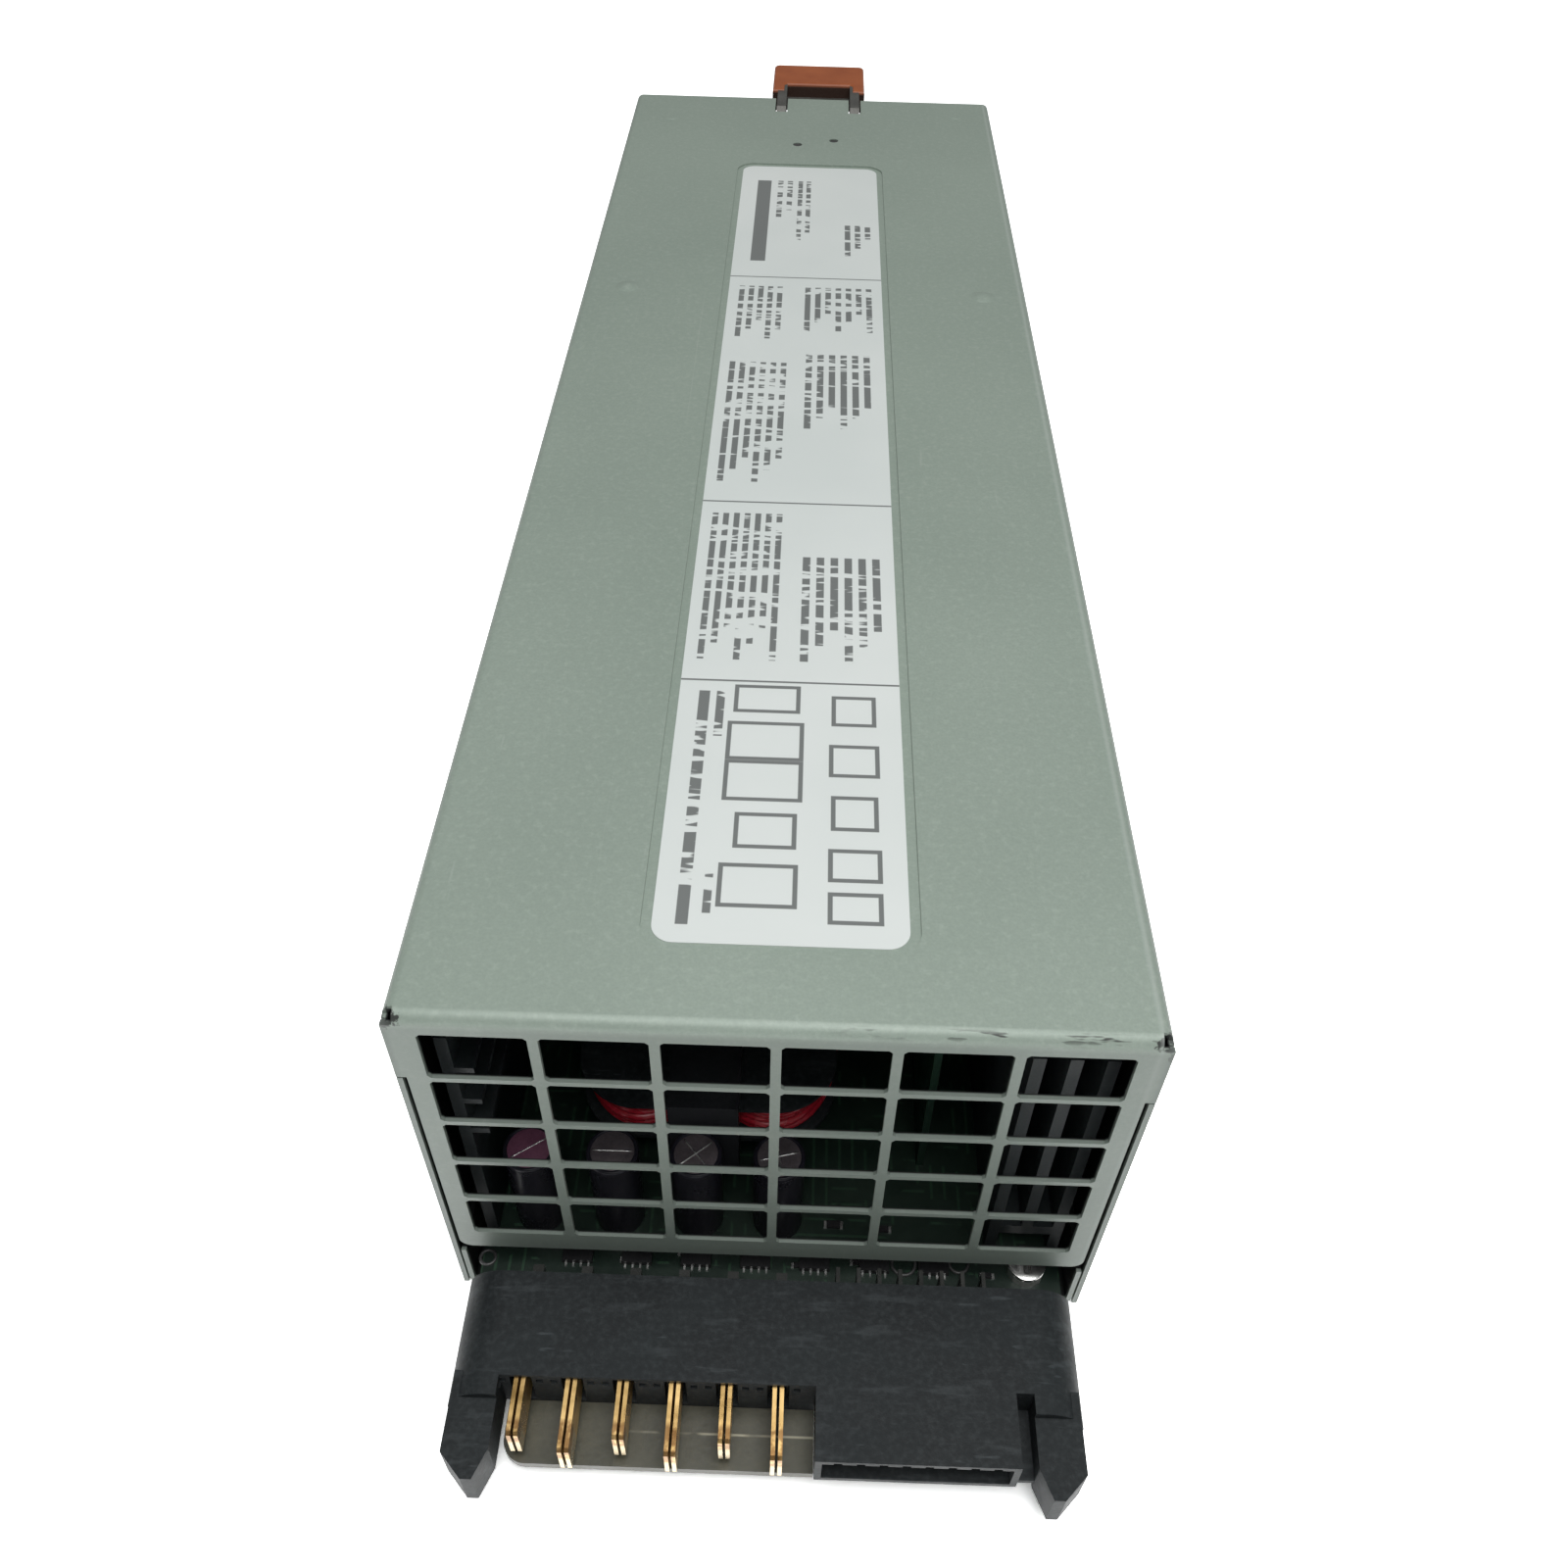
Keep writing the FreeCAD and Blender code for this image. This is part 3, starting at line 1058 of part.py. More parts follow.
def make_pull_handle():
    """A bail of strip steel: two legs, a cross bar and pins that turn in the plate's ears."""
    handle = piece("pull_handle")
    ear = f"({PAN_HALF} - 0.1)"
    outer = f"({ear} - sheet_steel - handle_side)"
    inner = f"({outer} - handle_thick)"
    along = f"({REAR} + handle_stand)"
    bottom, top = "(handle_level - handle_drop)", "(handle_level + handle_width / 2)"
    handle.pad("XZ", f"{along} - handle_width / 2", f"{along} + handle_width / 2", polygon(
        (f"-{outer}", bottom), (outer, bottom), (outer, top), (inner, top),
        (inner, f"{bottom} + handle_thick"), (f"-{inner}", f"{bottom} + handle_thick"),
        (f"-{inner}", top), (f"-{outer}", top)))
    ends, low, wall = number(top), number(bottom), number(outer)
    floor, face = number(f"{bottom} + handle_thick"), number(inner)
    handle.soften("Fillet", "handle_width / 2 - 0.1", lambda edge: edge_at(edge, "x", z=ends))
    handle.soften("Fillet", "handle_bend", lambda edge: edge_at(edge, "y", z=low)
                  and near(abs(edge.CenterOfMass.x), wall))
    handle.soften("Fillet", "handle_bend - handle_thick", lambda edge: edge_at(edge, "y", z=floor)
                  and near(abs(edge.CenterOfMass.x), face))
    for side in (-1, 1):
        handle.pad("YZ", *levels(side, f"{outer} - 0.1", f"{ear} - 0.2"),
                   circle(along, "handle_level", "handle_pin"))


# ---------------------------------------------------------------- release latch


def make_latch():
    """A sprung lever on a pin under the top sheet; its arms rise through the slots to a grip bar."""
    pivot_z = f"({CEILING} - latch_pivot_drop + 1)"
    outer = "(arm_inner + arm_thick)"
    end = f"({REAR} + arm_reach)"
    top, low = f"({TOP} + 0.6)", f"({TOP} - 3.8)"
    under = f"({CEILING} - 0.6)"
    lever = piece("latch_lever")
    for side in (-1, 1):
        near_x, far_x = ("arm_inner", outer) if side > 0 else (f"-{outer}", "-arm_inner")
        lever.pad("YZ", near_x, far_x, polygon(
            (f"{PIVOT_Y} - 3.2", f"{pivot_z} - 2.6"), (f"{PIVOT_Y} + 2.6", f"{pivot_z} - 2.6"),
            (f"{PIVOT_Y} + 6", f"{low} - 0.6"), (f"{REAR} + 1", low), (f"{end} + 7", f"{low} + 0.8"),
            (f"{end} + 7", f"{top} - 1.8"), (end, f"{top} - 1.8"), (end, top),
            (f"{REAR} - slot_length + 2.6", top), (f"{REAR} - slot_length + 0.6", under),
            (f"{PIVOT_Y} - 1", under), (f"{PIVOT_Y} - 3.2", f"{under} - 2")))
    for start, stop, level in ((f"{PIVOT_Y} + 14", f"{PIVOT_Y} + 22", f"{low} - 0.2"),
                               (f"{REAR} + 2", f"{end} - 1", low)):
        lever.pad("XY", level, f"{level} + 1", rectangle("-(arm_inner + 0.1)", start, "arm_inner + 0.1", stop))
    lever.cut("YZ", f"-{outer} - {OVER}", f"{outer} + {OVER}",
              circle(PIVOT_Y, pivot_z, "latch_pin_radius + shaft_play"))
    lever.place("latch_x")

    grip = piece("latch_grip")
    wide = f"({outer} + 0.3 + grip_cheek)"
    bar_top = f"({TOP} + 0.3)"
    grip.pad("YZ", f"-{wide}", wide, polygon(
        (end, f"{bar_top} - grip_height"), (f"{end} + grip_depth - 1.5", f"{bar_top} - grip_height"),
        (f"{end} + grip_depth", f"{bar_top} - grip_height + 1.5"), (f"{end} + grip_depth", f"{bar_top} - 1"),
        (f"{end} + grip_depth - 1", bar_top), (end, bar_top)))
    for side in (-1, 1):
        near_x, far_x = (f"{outer} + 0.3", wide) if side > 0 else (f"-{wide}", f"-({outer} + 0.3)")
        grip.pad("YZ", near_x, far_x, polygon(
            (f"{REAR} + 2", f"{bar_top} - 2.2"), (f"{end} + 0.1", f"{bar_top} - grip_height + 0.6"),
            (f"{end} + 0.1", bar_top), (f"{REAR} + 3", bar_top), (f"{REAR} + 2", f"{bar_top} - 0.8")))
        grip.cut("XZ", f"{end} - {OVER}", f"{end} + 7.1",
                 rectangle(f"{side} * (arm_inner - 0.05)", f"{low} - 0.1", f"{side} * ({outer} + 0.05)",
                           f"{top} - 1.75"))
    grip.place("latch_x")

    pin = doc.addObject("Part::Cylinder", "latch_pin")
    pin.Label = "latch_pin"
    bind(pin, "Radius", "latch_pin_radius")
    bind(pin, "Height", f"2 * ({outer} + 0.8)")
    pin.Placement.Rotation = FreeCAD.Rotation(FreeCAD.Vector(0, 1, 0), 90)
    bind(pin, "Placement.Base.x", f"latch_x - {outer} - 0.8")
    bind(pin, "Placement.Base.y", PIVOT_Y)
    bind(pin, "Placement.Base.z", pivot_z)
    parts["latch_pin"] = pin

    bracket = piece("latch_bracket")
    web = f"({CEILING} - 8.6)"
    bracket.pad("XY", web, f"{web} + 1", rectangle("-bracket_half", f"{PIVOT_Y} - 6", "bracket_half", f"{PIVOT_Y} + 24"))
    for side in (-1, 1):
        bracket.pad("XY", web, CEILING, rectangle(f"{side} * bracket_half", f"{PIVOT_Y} - 6",
                                                  f"{side} * (bracket_half - 1)", f"{PIVOT_Y} + 10"))
        bracket.pad("XY", f"{CEILING} - 1", CEILING, rectangle(f"{side} * bracket_half", f"{PIVOT_Y} - 6",
                                                               f"{side} * 2.6", f"{PIVOT_Y} + 10"))
    bracket.cut("YZ", f"-bracket_half - {OVER}", f"bracket_half + {OVER}",
                circle(PIVOT_Y, pivot_z, "latch_pin_radius + 0.03"))
    bracket.cut("XY", f"{CEILING} - 1.5", f"{CEILING} + 0.5",
                *[regular(f"{x} - latch_x", y, "1.2") for x, y in RIVETS])
    bracket.place("latch_x")

    rivet = pattern_piece("latch_rivet")
    rivet.pad("XY", "-1.8", "-1", regular("0", "0", "1.6"))
    rivet.pad("XY", "-1.1", "sheet_steel - 0.2", regular("0", "0", "1.1"))
    group("latch_rivets", [(rivet, spot(x, y, CEILING)) for x, y in RIVETS])

    make_latch_spring(number(f"{web} + 1"), number(f"{low} - 0.2"))


def make_latch_spring(foot, head):
    """A bowed leaf between the bracket's shelf and the lever's cross piece."""
    start, stop = number(f"{PIVOT_Y} + 12.5"), number(f"{PIVOT_Y} + 23.5")
    middle, thick, half = (start + stop) / 2, number("spring_thick"), number("bracket_half - 2")
    outer = Part.Arc(FreeCAD.Vector(-half, start, foot), FreeCAD.Vector(-half, middle, head - 0.05),
                     FreeCAD.Vector(-half, stop, foot)).toShape()
    inner = Part.Arc(FreeCAD.Vector(-half, stop - 1.5 * thick, foot),
                     FreeCAD.Vector(-half, middle, head - 0.05 - thick),
                     FreeCAD.Vector(-half, start + 1.5 * thick, foot)).toShape()
    ends = [Part.makeLine(outer.Vertexes[1].Point, inner.Vertexes[0].Point),
            Part.makeLine(inner.Vertexes[1].Point, outer.Vertexes[0].Point)]
    wire = Part.Wire([outer, ends[0], inner, ends[1]])
    spring = solid_feature("latch_spring", Part.Face(wire).extrude(FreeCAD.Vector(2 * half, 0, 0)))
    spring.Placement = spot("latch_x", "0", "0")


# ---------------------------------------------------------------- label and cover screws


def make_label():
    label = piece("rating_label")
    level = f"({TOP} - recess_depth)"
    label.pad("XY", level, f"{level} + label_thick",
              rounded("-label_width / 2", f"{FRONT} + label_front", "label_width / 2",
                      f"{FRONT} + label_front + label_length", "label_corner"))


def make_cover_screws():
    """Flush screws through the cover into the pan's flanges and the end plate."""
    screw = pattern_piece("cover_screw")
    screw.pad("XY", "-head_depth", "-0.05", regular("0", "0", "cover_head"))
    screw.pad("XY", "-2.8", "-head_depth + 0.1", regular("0", "0", "cover_hole - 2 * screw_play"))
    cut_cross(screw, "(-0.05)", "0.35", "1.4")
    copies = []
    for side in (-1, 1):
        for along, up in COVER_SCREWS:
            copies.append((screw, spot(f"{side} * {HALF}", along, up, (0, 1, 0), 90 * side)))
    group("cover_screws", copies)


# ---------------------------------------------------------------- build


make_top_cover()
make_base_pan()
make_front_plate()
make_main_board()
make_connector()
make_power_blades()
make_signal_pins()
for cap in range(4):
    make_capacitor(f"output_capacitor_{cap + 1}", "output_cap_radius", "output_cap_height",
                   f"-output_cap_first + {cap} * output_cap_pitch", f"{FRONT} + output_cap_place")
for cap in range(2):
    make_capacitor(f"bulk_capacitor_{cap + 1}", "bulk_cap_radius", "bulk_cap_height",
                   f"23 - casing_width / 2 + {cap} * bulk_cap_spread", "bulk_cap_place")
make_output_choke()
make_transformer()
make_heatsinks()
make_control_board()
make_line_parts()
make_fan()
make_fan_guard()
make_inlet()
make_pull_handle()
make_latch()
make_label()
make_cover_screws()
doc.recompute()

# ---------------------------------------------------------------- check and write

faults = [f"{thing.Label}: {thing.State}" for thing in doc.Objects
          if "Invalid" in thing.State or "Error" in thing.State]
for made in checked:
    for feature in made.cuts:
        if feature.BaseFeature.Shape.Volume - feature.Shape.Volume < 1e-3:
            faults.append(f"{made.body.Label}: {feature.Name} cuts nothing")
for label, thing in parts.items():
    if thing.Shape.isNull() or not thing.Shape.isValid():
        faults.append(f"{label}: shape is null or not valid")
if faults:
    raise RuntimeError("; ".join(faults))

os.makedirs("parts", exist_ok=True)
for label, thing in parts.items():
    thing.Shape.exportStep(os.path.join("parts", f"{label}.step"))
print(len(parts), "sub-parts written")
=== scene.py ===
# %% [markdown]
# # Dressing a hot swap server power supply
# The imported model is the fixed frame: a folded steel case with a grille, a power connector, the
# parts behind the grille, a fan, a mains inlet, a pull bail and a sprung latch.
# This lesson gives each of them its finish, and adds the pieces that are too fine for a solid.

# %% Load the frame and keep its box
import math
import bpy
import numpy as np
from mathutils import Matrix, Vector


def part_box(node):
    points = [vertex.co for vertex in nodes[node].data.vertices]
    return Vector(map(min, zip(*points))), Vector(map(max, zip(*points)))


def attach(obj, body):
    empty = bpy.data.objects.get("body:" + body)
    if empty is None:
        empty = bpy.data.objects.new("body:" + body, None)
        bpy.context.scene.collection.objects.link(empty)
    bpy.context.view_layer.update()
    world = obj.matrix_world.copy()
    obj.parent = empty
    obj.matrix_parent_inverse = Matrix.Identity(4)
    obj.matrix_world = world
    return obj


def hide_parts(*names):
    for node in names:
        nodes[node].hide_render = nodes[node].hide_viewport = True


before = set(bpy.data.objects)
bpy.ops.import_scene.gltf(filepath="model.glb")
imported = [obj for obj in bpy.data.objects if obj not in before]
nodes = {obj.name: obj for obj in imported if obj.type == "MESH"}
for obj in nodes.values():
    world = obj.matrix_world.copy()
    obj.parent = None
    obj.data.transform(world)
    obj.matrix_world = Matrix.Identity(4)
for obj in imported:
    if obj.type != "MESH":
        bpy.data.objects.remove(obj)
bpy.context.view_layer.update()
MM = 0.001

# %% [markdown]
# ## Sizes read from the frame
# Most places come from the box of a solid, so most of the dressing follows the case if its size changes; the
# loose chips, rings and pressed marks are given in mm.

# %% Read the boxes that the pieces need
cover_low, cover_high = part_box("top_cover")
half_width = cover_high.x
front_y, rear_y = cover_low.y, cover_high.y
top_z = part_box("rating_label")[1].z + 0.2 * MM
board_low, board_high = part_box("main_board")
board_top = board_high.z
print("case", 2 * half_width, "wide; board top at", board_top)

# %% [markdown]
# ## Camera and light
# The camera stands close in front of the connector and looks down at 45 degrees, with a short lens,
# which gives the strong taper of the case. The floor is white to the lens and to reflections, while
# the lamps stay at a plain level, so each colour shows about as it is written.

# %% Camera
camera_data = bpy.data.cameras.new("camera")
camera_data.lens = 31.55
camera_data.sensor_width = 36.0
camera_data.clip_start = 0.005
camera_data.clip_end = 20.0
camera = bpy.data.objects.new("camera", camera_data)
camera.location = (1.072 * MM, -255.43 * MM, 218.47 * MM)
camera.rotation_euler = (math.radians(44.303), math.radians(-1.049), math.radians(1.647))
bpy.context.scene.collection.objects.link(camera)
bpy.context.scene.camera = camera
print("camera at", tuple(round(value, 3) for value in camera.location))


# %% A short way to add shader nodes
def add_node(tree, kind, options=None, **inputs):
    """Add one shader node. Options are its own settings; inputs take a value or another node's socket."""
    made = tree.nodes.new(f"ShaderNode{kind}")
    for name, value in (options or {}).items():
        setattr(made, name, value)
    for name, value in inputs.items():
        socket = made.inputs[int(name[1:])] if name[1:].isdigit() else made.inputs[name.replace("_", " ")]
        if isinstance(value, bpy.types.NodeSocket):
            tree.links.new(value, socket)
        else:
            socket.default_value = value
    return made


def maths(tree, operation, first, second=0.0, clamp=False):
    """One Math node and its output socket."""
    options = {"operation": operation, "use_clamp": clamp}
    return add_node(tree, "Math", options, i0=first, i1=second).outputs[0]


def mix_colour(tree, factor, first, second, blend="MIX"):
    """Blend two colours and return the output socket."""
    made = add_node(tree, "Mix", {"data_type": "RGBA", "blend_type": blend}, i0=factor, i6=first, i7=second)
    return made.outputs[2]


# %% Floor and lamps
def make_floor():
    """A wide square at the level the case stands on."""
    size = 4.0
    mesh = bpy.data.meshes.new("floor")
    corners = [(-size, -size, 0), (size, -size, 0), (size, size, 0), (-size, size, 0)]
    mesh.from_pydata(corners, [], [(0, 1, 2, 3)])
    floor = bpy.data.objects.new("floor", mesh)
    bpy.context.scene.collection.objects.link(floor)
    paint = bpy.data.materials.new("floor_white")
    paint.use_nodes = True
    tree = paint.node_tree
    shader = tree.nodes["Principled BSDF"]
    seen = add_node(tree, "LightPath").outputs
    direct = maths(tree, "MAXIMUM", seen["Is Camera Ray"], seen["Is Glossy Ray"])
    direct = maths(tree, "MAXIMUM", direct, seen["Is Transmission Ray"])
    tone = mix_colour(tree, direct, (0.85, 0.85, 0.85, 1), (2.4, 2.4, 2.4, 1))
    tree.links.new(tone, shader.inputs["Base Color"])
    shader.inputs["Roughness"].default_value = 0.9
    shader.inputs["Specular IOR Level"].default_value = 0.0
    mesh.materials.append(paint)
    floor.location.z = -0.0002
    return floor


def make_lamp(name, place, aim, size, power):
    """A square soft lamp at a place, turned towards a point."""
    data = bpy.data.lights.new(name, "AREA")
    data.size = size
    data.energy = power
    lamp = bpy.data.objects.new(name, data)
    lamp.location = place
    lamp.rotation_euler = (Vector(aim) - Vector(place)).to_track_quat("-Z", "Y").to_euler()
    bpy.context.scene.collection.objects.link(lamp)
    return lamp


floor = make_floor()
lamps = [make_lamp("overhead", (0.10, -0.28, 1.05), (0, -0.1, 0), 0.7, 8.9),
         make_lamp("front_fill", (0.35, -1.0, 0.75), (0, -0.15, 0.03), 0.7, 0.15),
         make_lamp("grille_fill", (0.01, -0.29, 0.27), (-0.01, -0.135, 0.02), 0.10, 0.085)]
world = bpy.data.worlds.new("studio")
world.use_nodes = True
bpy.context.scene.world = world
tree = world.node_tree
seen = add_node(tree, "LightPath").outputs["Is Camera Ray"]
sky = tree.nodes["Background"]
sky.inputs["Color"].default_value = (0.97, 1.0, 0.985, 1)
tree.links.new(add_node(tree, "MapRange", Value=seen, To_Min=0.24, To_Max=1.0).outputs["Result"],
               sky.inputs["Strength"])
bpy.context.scene.view_settings.view_transform = "Standard"
print(len(lamps), "lamps over a white floor")

# %% [markdown]
# ## Effects shared by several finishes
# A shader group is built once and placed in every material that needs it, each time with its own
# values. Each one reads Object coordinates, in metres, so its grain has a real size.


# %% The frame of a shader group
def new_group(name, inputs, outputs):
    """An empty shader group: inputs and outputs are (name, socket type, default) rows."""
    tree = bpy.data.node_groups.new(name, "ShaderNodeTree")
    for label, kind, start in inputs:
        socket = tree.interface.new_socket(label, in_out="INPUT", socket_type=f"NodeSocket{kind}")
        if start is not None:
            socket.default_value = start
    for label, kind in outputs:
        tree.interface.new_socket(label, in_out="OUTPUT", socket_type=f"NodeSocket{kind}")
    entry = tree.nodes.new("NodeGroupInput")
    leave = tree.nodes.new("NodeGroupOutput")
    return tree, entry.outputs, leave.inputs


def use_group(tree, name, **inputs):
    """Place a shader group in a material."""
    made = tree.nodes.new("ShaderNodeGroup")
    made.node_tree = bpy.data.node_groups[name]
    for label, value in inputs.items():
        socket = made.inputs[label.replace("_", " ")]
        if isinstance(value, bpy.types.NodeSocket):
            tree.links.new(value, socket)
        else:
            socket.default_value = value
    return made.outputs


# %% [markdown]
# A cast, moulded or sprayed surface is never even. `speckle` gives the grain of the finish and a
# slow cloudiness over it; both come out as values from 0 to 1.

# %% Speckle: fine grain and slow clouds
speckle, given, result = new_group("speckle", [("Grain", "Float", 0.4), ("Clouds", "Float", 30.0)],
                                   [("Fine", "Float"), ("Slow", "Float"), ("Height", "Float")])
place = add_node(speckle, "TexCoord").outputs["Object"]
grain_scale = maths(speckle, "DIVIDE", 1000.0, given["Grain"])
fine = add_node(speckle, "TexNoise", Vector=place, Scale=grain_scale, Detail=2.0,
                Roughness=0.6).outputs["Fac"]
cloud_scale = maths(speckle, "DIVIDE", 1000.0, given["Clouds"])
slow = add_node(speckle, "TexNoise", Vector=place, Scale=cloud_scale, Detail=3.0,
                Roughness=0.55).outputs["Fac"]
fine_steep = add_node(speckle, "MapRange", Value=fine, From_Min=0.3, From_Max=0.7).outputs["Result"]
slow_steep = add_node(speckle, "MapRange", Value=slow, From_Min=0.32, From_Max=0.68).outputs["Result"]
speckle.links.new(fine_steep, result["Fine"])
speckle.links.new(slow_steep, result["Slow"])
speckle.links.new(fine, result["Height"])
print("group", speckle.name)

# %% [markdown]
# Sliding in and out of a bay draws long thin scratches along the case. `scratches` stretches noise
# along one direction and keeps only its crests.

# %% Scratches: long thin marks along one direction
scratches, given, result = new_group(
    "scratches", [("Across", "Float", 900.0), ("Along", "Float", 12.0), ("Amount", "Float", 0.62)],
    [("Mask", "Float")])
place = add_node(scratches, "TexCoord").outputs["Object"]
parts = add_node(scratches, "SeparateXYZ", Vector=place).outputs
stretched = add_node(scratches, "CombineXYZ", X=maths(scratches, "MULTIPLY", parts["X"], given["Across"]),
                     Y=maths(scratches, "MULTIPLY", parts["Y"], given["Along"]),
                     Z=maths(scratches, "MULTIPLY", parts["Z"], given["Across"])).outputs["Vector"]
lines = add_node(scratches, "TexNoise", Vector=stretched, Scale=1.0, Detail=2.0, Roughness=0.5).outputs["Fac"]
edge = maths(scratches, "ADD", given["Amount"], 0.05)
crest = add_node(scratches, "MapRange", Value=lines, From_Min=given["Amount"],
                 From_Max=edge).outputs["Result"]
scratches.links.new(crest, result["Mask"])
print("group", scratches.name)


# %% A material from a colour range, a grain and a roughness range
def new_material(name):
    """A node material, its tree and its main shader."""
    made = bpy.data.materials.new(name)
    made.use_nodes = True
    return made, made.node_tree, made.node_tree.nodes["Principled BSDF"]


def bump(tree, shader, height, strength, distance):
    """Feed a height into the shader's normal."""
    made = add_node(tree, "Bump", Strength=strength, Distance=distance, Height=height)
    tree.links.new(made.outputs["Normal"], shader.inputs["Normal"])


def grained(name, dark, light, grain=0.4, clouds=25.0, rough=(0.45, 0.6), depth=0.02, metallic=0.0,
            cloud_share=0.5):
    """A finish whose colour drifts between two tones, with grain in its colour, gloss and height."""
    made, tree, shader = new_material(name)
    marks = use_group(tree, "speckle", Grain=grain, Clouds=clouds)
    share = maths(tree, "MULTIPLY", marks["Slow"], cloud_share)
    blend = add_node(tree, "Math", {"operation": "MULTIPLY_ADD"}, i0=marks["Fine"], i1=1.0 - cloud_share,
                     i2=share).outputs[0]
    colour = mix_colour(tree, blend, (*dark, 1), (*light, 1))
    tree.links.new(colour, shader.inputs["Base Color"])
    gloss = add_node(tree, "MapRange", Value=marks["Slow"], To_Min=rough[0], To_Max=rough[1])
    tree.links.new(gloss.outputs["Result"], shader.inputs["Roughness"])
    bump(tree, shader, marks["Height"], 0.6, depth * MM)
    shader.inputs["Metallic"].default_value = metallic
    return made


def finish_nodes(material, *names):
    """Give CAD nodes a material."""
    for name in names:
        mesh = nodes[name].data
        mesh.materials.clear()
        mesh.materials.append(material)


# %% [markdown]
# Parts of a finish change with place: paint chips at a corner, painted shade on a blade behind the
# housing. A `band` is 1 where a coordinate lies between two values and fades out over a short distance.


# %% Bands along one axis
def place_axes(tree):
    """The three Object coordinates as sockets."""
    return add_node(tree, "SeparateXYZ", Vector=add_node(tree, "TexCoord").outputs["Object"]).outputs


def band(tree, value, low, high, fade=0.0002):
    """1 between low and high, 0 outside, with soft ends."""
    rise = add_node(tree, "MapRange", Value=value, From_Min=low - fade, From_Max=low + fade).outputs["Result"]
    fall = add_node(tree, "MapRange", Value=value, From_Min=high - fade, From_Max=high + fade,
                    To_Min=1.0, To_Max=0.0).outputs["Result"]
    return maths(tree, "MULTIPLY", rise, fall)


def both(tree, *masks):
    """Where every mask is 1."""
    whole = masks[0]
    for mask in masks[1:]:
        whole = maths(tree, "MULTIPLY", whole, mask)
    return whole


def noise(tree, size, detail=2.0, stretch=(1, 1, 1)):
    """Noise whose blobs are about the given size, stretched along the axes."""
    spots = add_node(tree, "TexCoord").outputs["Object"]
    moved = add_node(tree, "VectorMath", {"operation": "MULTIPLY"}, i0=spots, i1=stretch).outputs[0]
    return add_node(tree, "TexNoise", Vector=moved, Scale=1.0 / size, Detail=detail,
                    Roughness=0.6).outputs["Fac"]


def over(tree, value, level, soft=0.03):
    """A steep step: 1 where the value is over the level."""
    return add_node(tree, "MapRange", Value=value, From_Min=level - soft,
                    From_Max=level + soft).outputs["Result"]


# %% [markdown]
# ## The case paint
# The case is sprayed with a grey-green coat that has a fine metallic speckle. It is chipped at the
# relief cuts beside the grille and along the right half of the front bend, and long faint scratches
# run down its left side. The grille face is painted darker as painted shade, a painted highlight runs
# along the right bend, the side edges carry painted shade, and the inner faces are painted near-black
# as painted shade.

# %% Case paint
case_paint, tree, shader = new_material("case_paint")
marks = use_group(tree, "speckle", Grain=0.45, Clouds=70.0)
fleck = use_group(tree, "speckle", Grain=1.1, Clouds=18.0)
base = mix_colour(tree, marks["Slow"], (0.262, 0.318, 0.272, 1), (0.288, 0.345, 0.296, 1))
speck = maths(tree, "MULTIPLY", marks["Fine"], 0.42)
base = mix_colour(tree, speck, base, (0.215, 0.265, 0.230, 1))
speck = maths(tree, "MULTIPLY", maths(tree, "POWER", fleck["Fine"], 3.0), 0.35)
base = mix_colour(tree, speck, base, (0.36, 0.41, 0.365, 1))
axes = place_axes(tree)
# long scratches on the left of the top, and short ones anywhere
lines = use_group(tree, "scratches", Across=1400.0, Along=7.0, Amount=0.72)["Mask"]
left = band(tree, axes["X"], -0.047, -0.018, 0.004)
long_lines = maths(tree, "MULTIPLY", both(tree, lines, left), 0.30)
base = mix_colour(tree, long_lines, base, (0.42, 0.45, 0.42, 1))
scuffs = use_group(tree, "scratches", Across=500.0, Along=60.0, Amount=0.76)["Mask"]
base = mix_colour(tree, maths(tree, "MULTIPLY", scuffs, 0.22), base, (0.44, 0.47, 0.44, 1))
# chips and a worn front bend
from_front = maths(tree, "SUBTRACT", axes["Y"], front_y)
from_side = maths(tree, "SUBTRACT", half_width, maths(tree, "ABSOLUTE", axes["X"]))
from_top = maths(tree, "SUBTRACT", top_z, axes["Z"])
reach = maths(tree, "ADD", maths(tree, "ADD", from_front, from_side), maths(tree, "ABSOLUTE", from_top))
near_corner = add_node(tree, "MapRange", Value=reach, From_Min=2.5 * MM, From_Max=7.5 * MM, To_Min=1.0,
                       To_Max=0.0).outputs["Result"]
chips = maths(tree, "MULTIPLY", noise(tree, 1.2 * MM, 3.0), near_corner)
worn = over(tree, chips, 0.44)
on_bend = both(tree, band(tree, from_front, 0.3 * MM, 1.1 * MM, 0.3 * MM),
               band(tree, axes["X"], 12 * MM, 47 * MM, 6 * MM),
               over(tree, axes["Z"], top_z - 1.8 * MM, 0.3 * MM))
dashes = over(tree, noise(tree, 2.2 * MM, 2.0, (0.45, 2.0, 2.0)), 0.60)
worn = maths(tree, "MAXIMUM", worn, both(tree, on_bend, dashes))
base = mix_colour(tree, maths(tree, "MULTIPLY", worn, 0.95), base, (0.022, 0.023, 0.021, 1))
# painted highlight along the right bend of the top
right_bend_highlight = both(tree, over(tree, axes["X"], 0.0, 0.001), band(tree, from_side, 0.0014, 0.0019, 0.0003))
base = mix_colour(tree, maths(tree, "MULTIPLY", right_bend_highlight, 0.40), base, (0.46, 0.50, 0.47, 1))
# painted shade on the side walls and the outer edges of the top
sides = band(tree, from_side, -0.001, 0.0006, 0.0004)
base = mix_colour(tree, maths(tree, "MULTIPLY", sides, 0.55), base, (0.12, 0.135, 0.125, 1))
# the grille face is painted darker than the top, as painted shade
grille = both(tree, band(tree, from_front, -0.001, 0.0009, 0.0002), over(tree, from_top, 0.0018, 0.0008))
base = mix_colour(tree, maths(tree, "MULTIPLY", grille, 0.55), base, (0.15, 0.172, 0.158, 1))
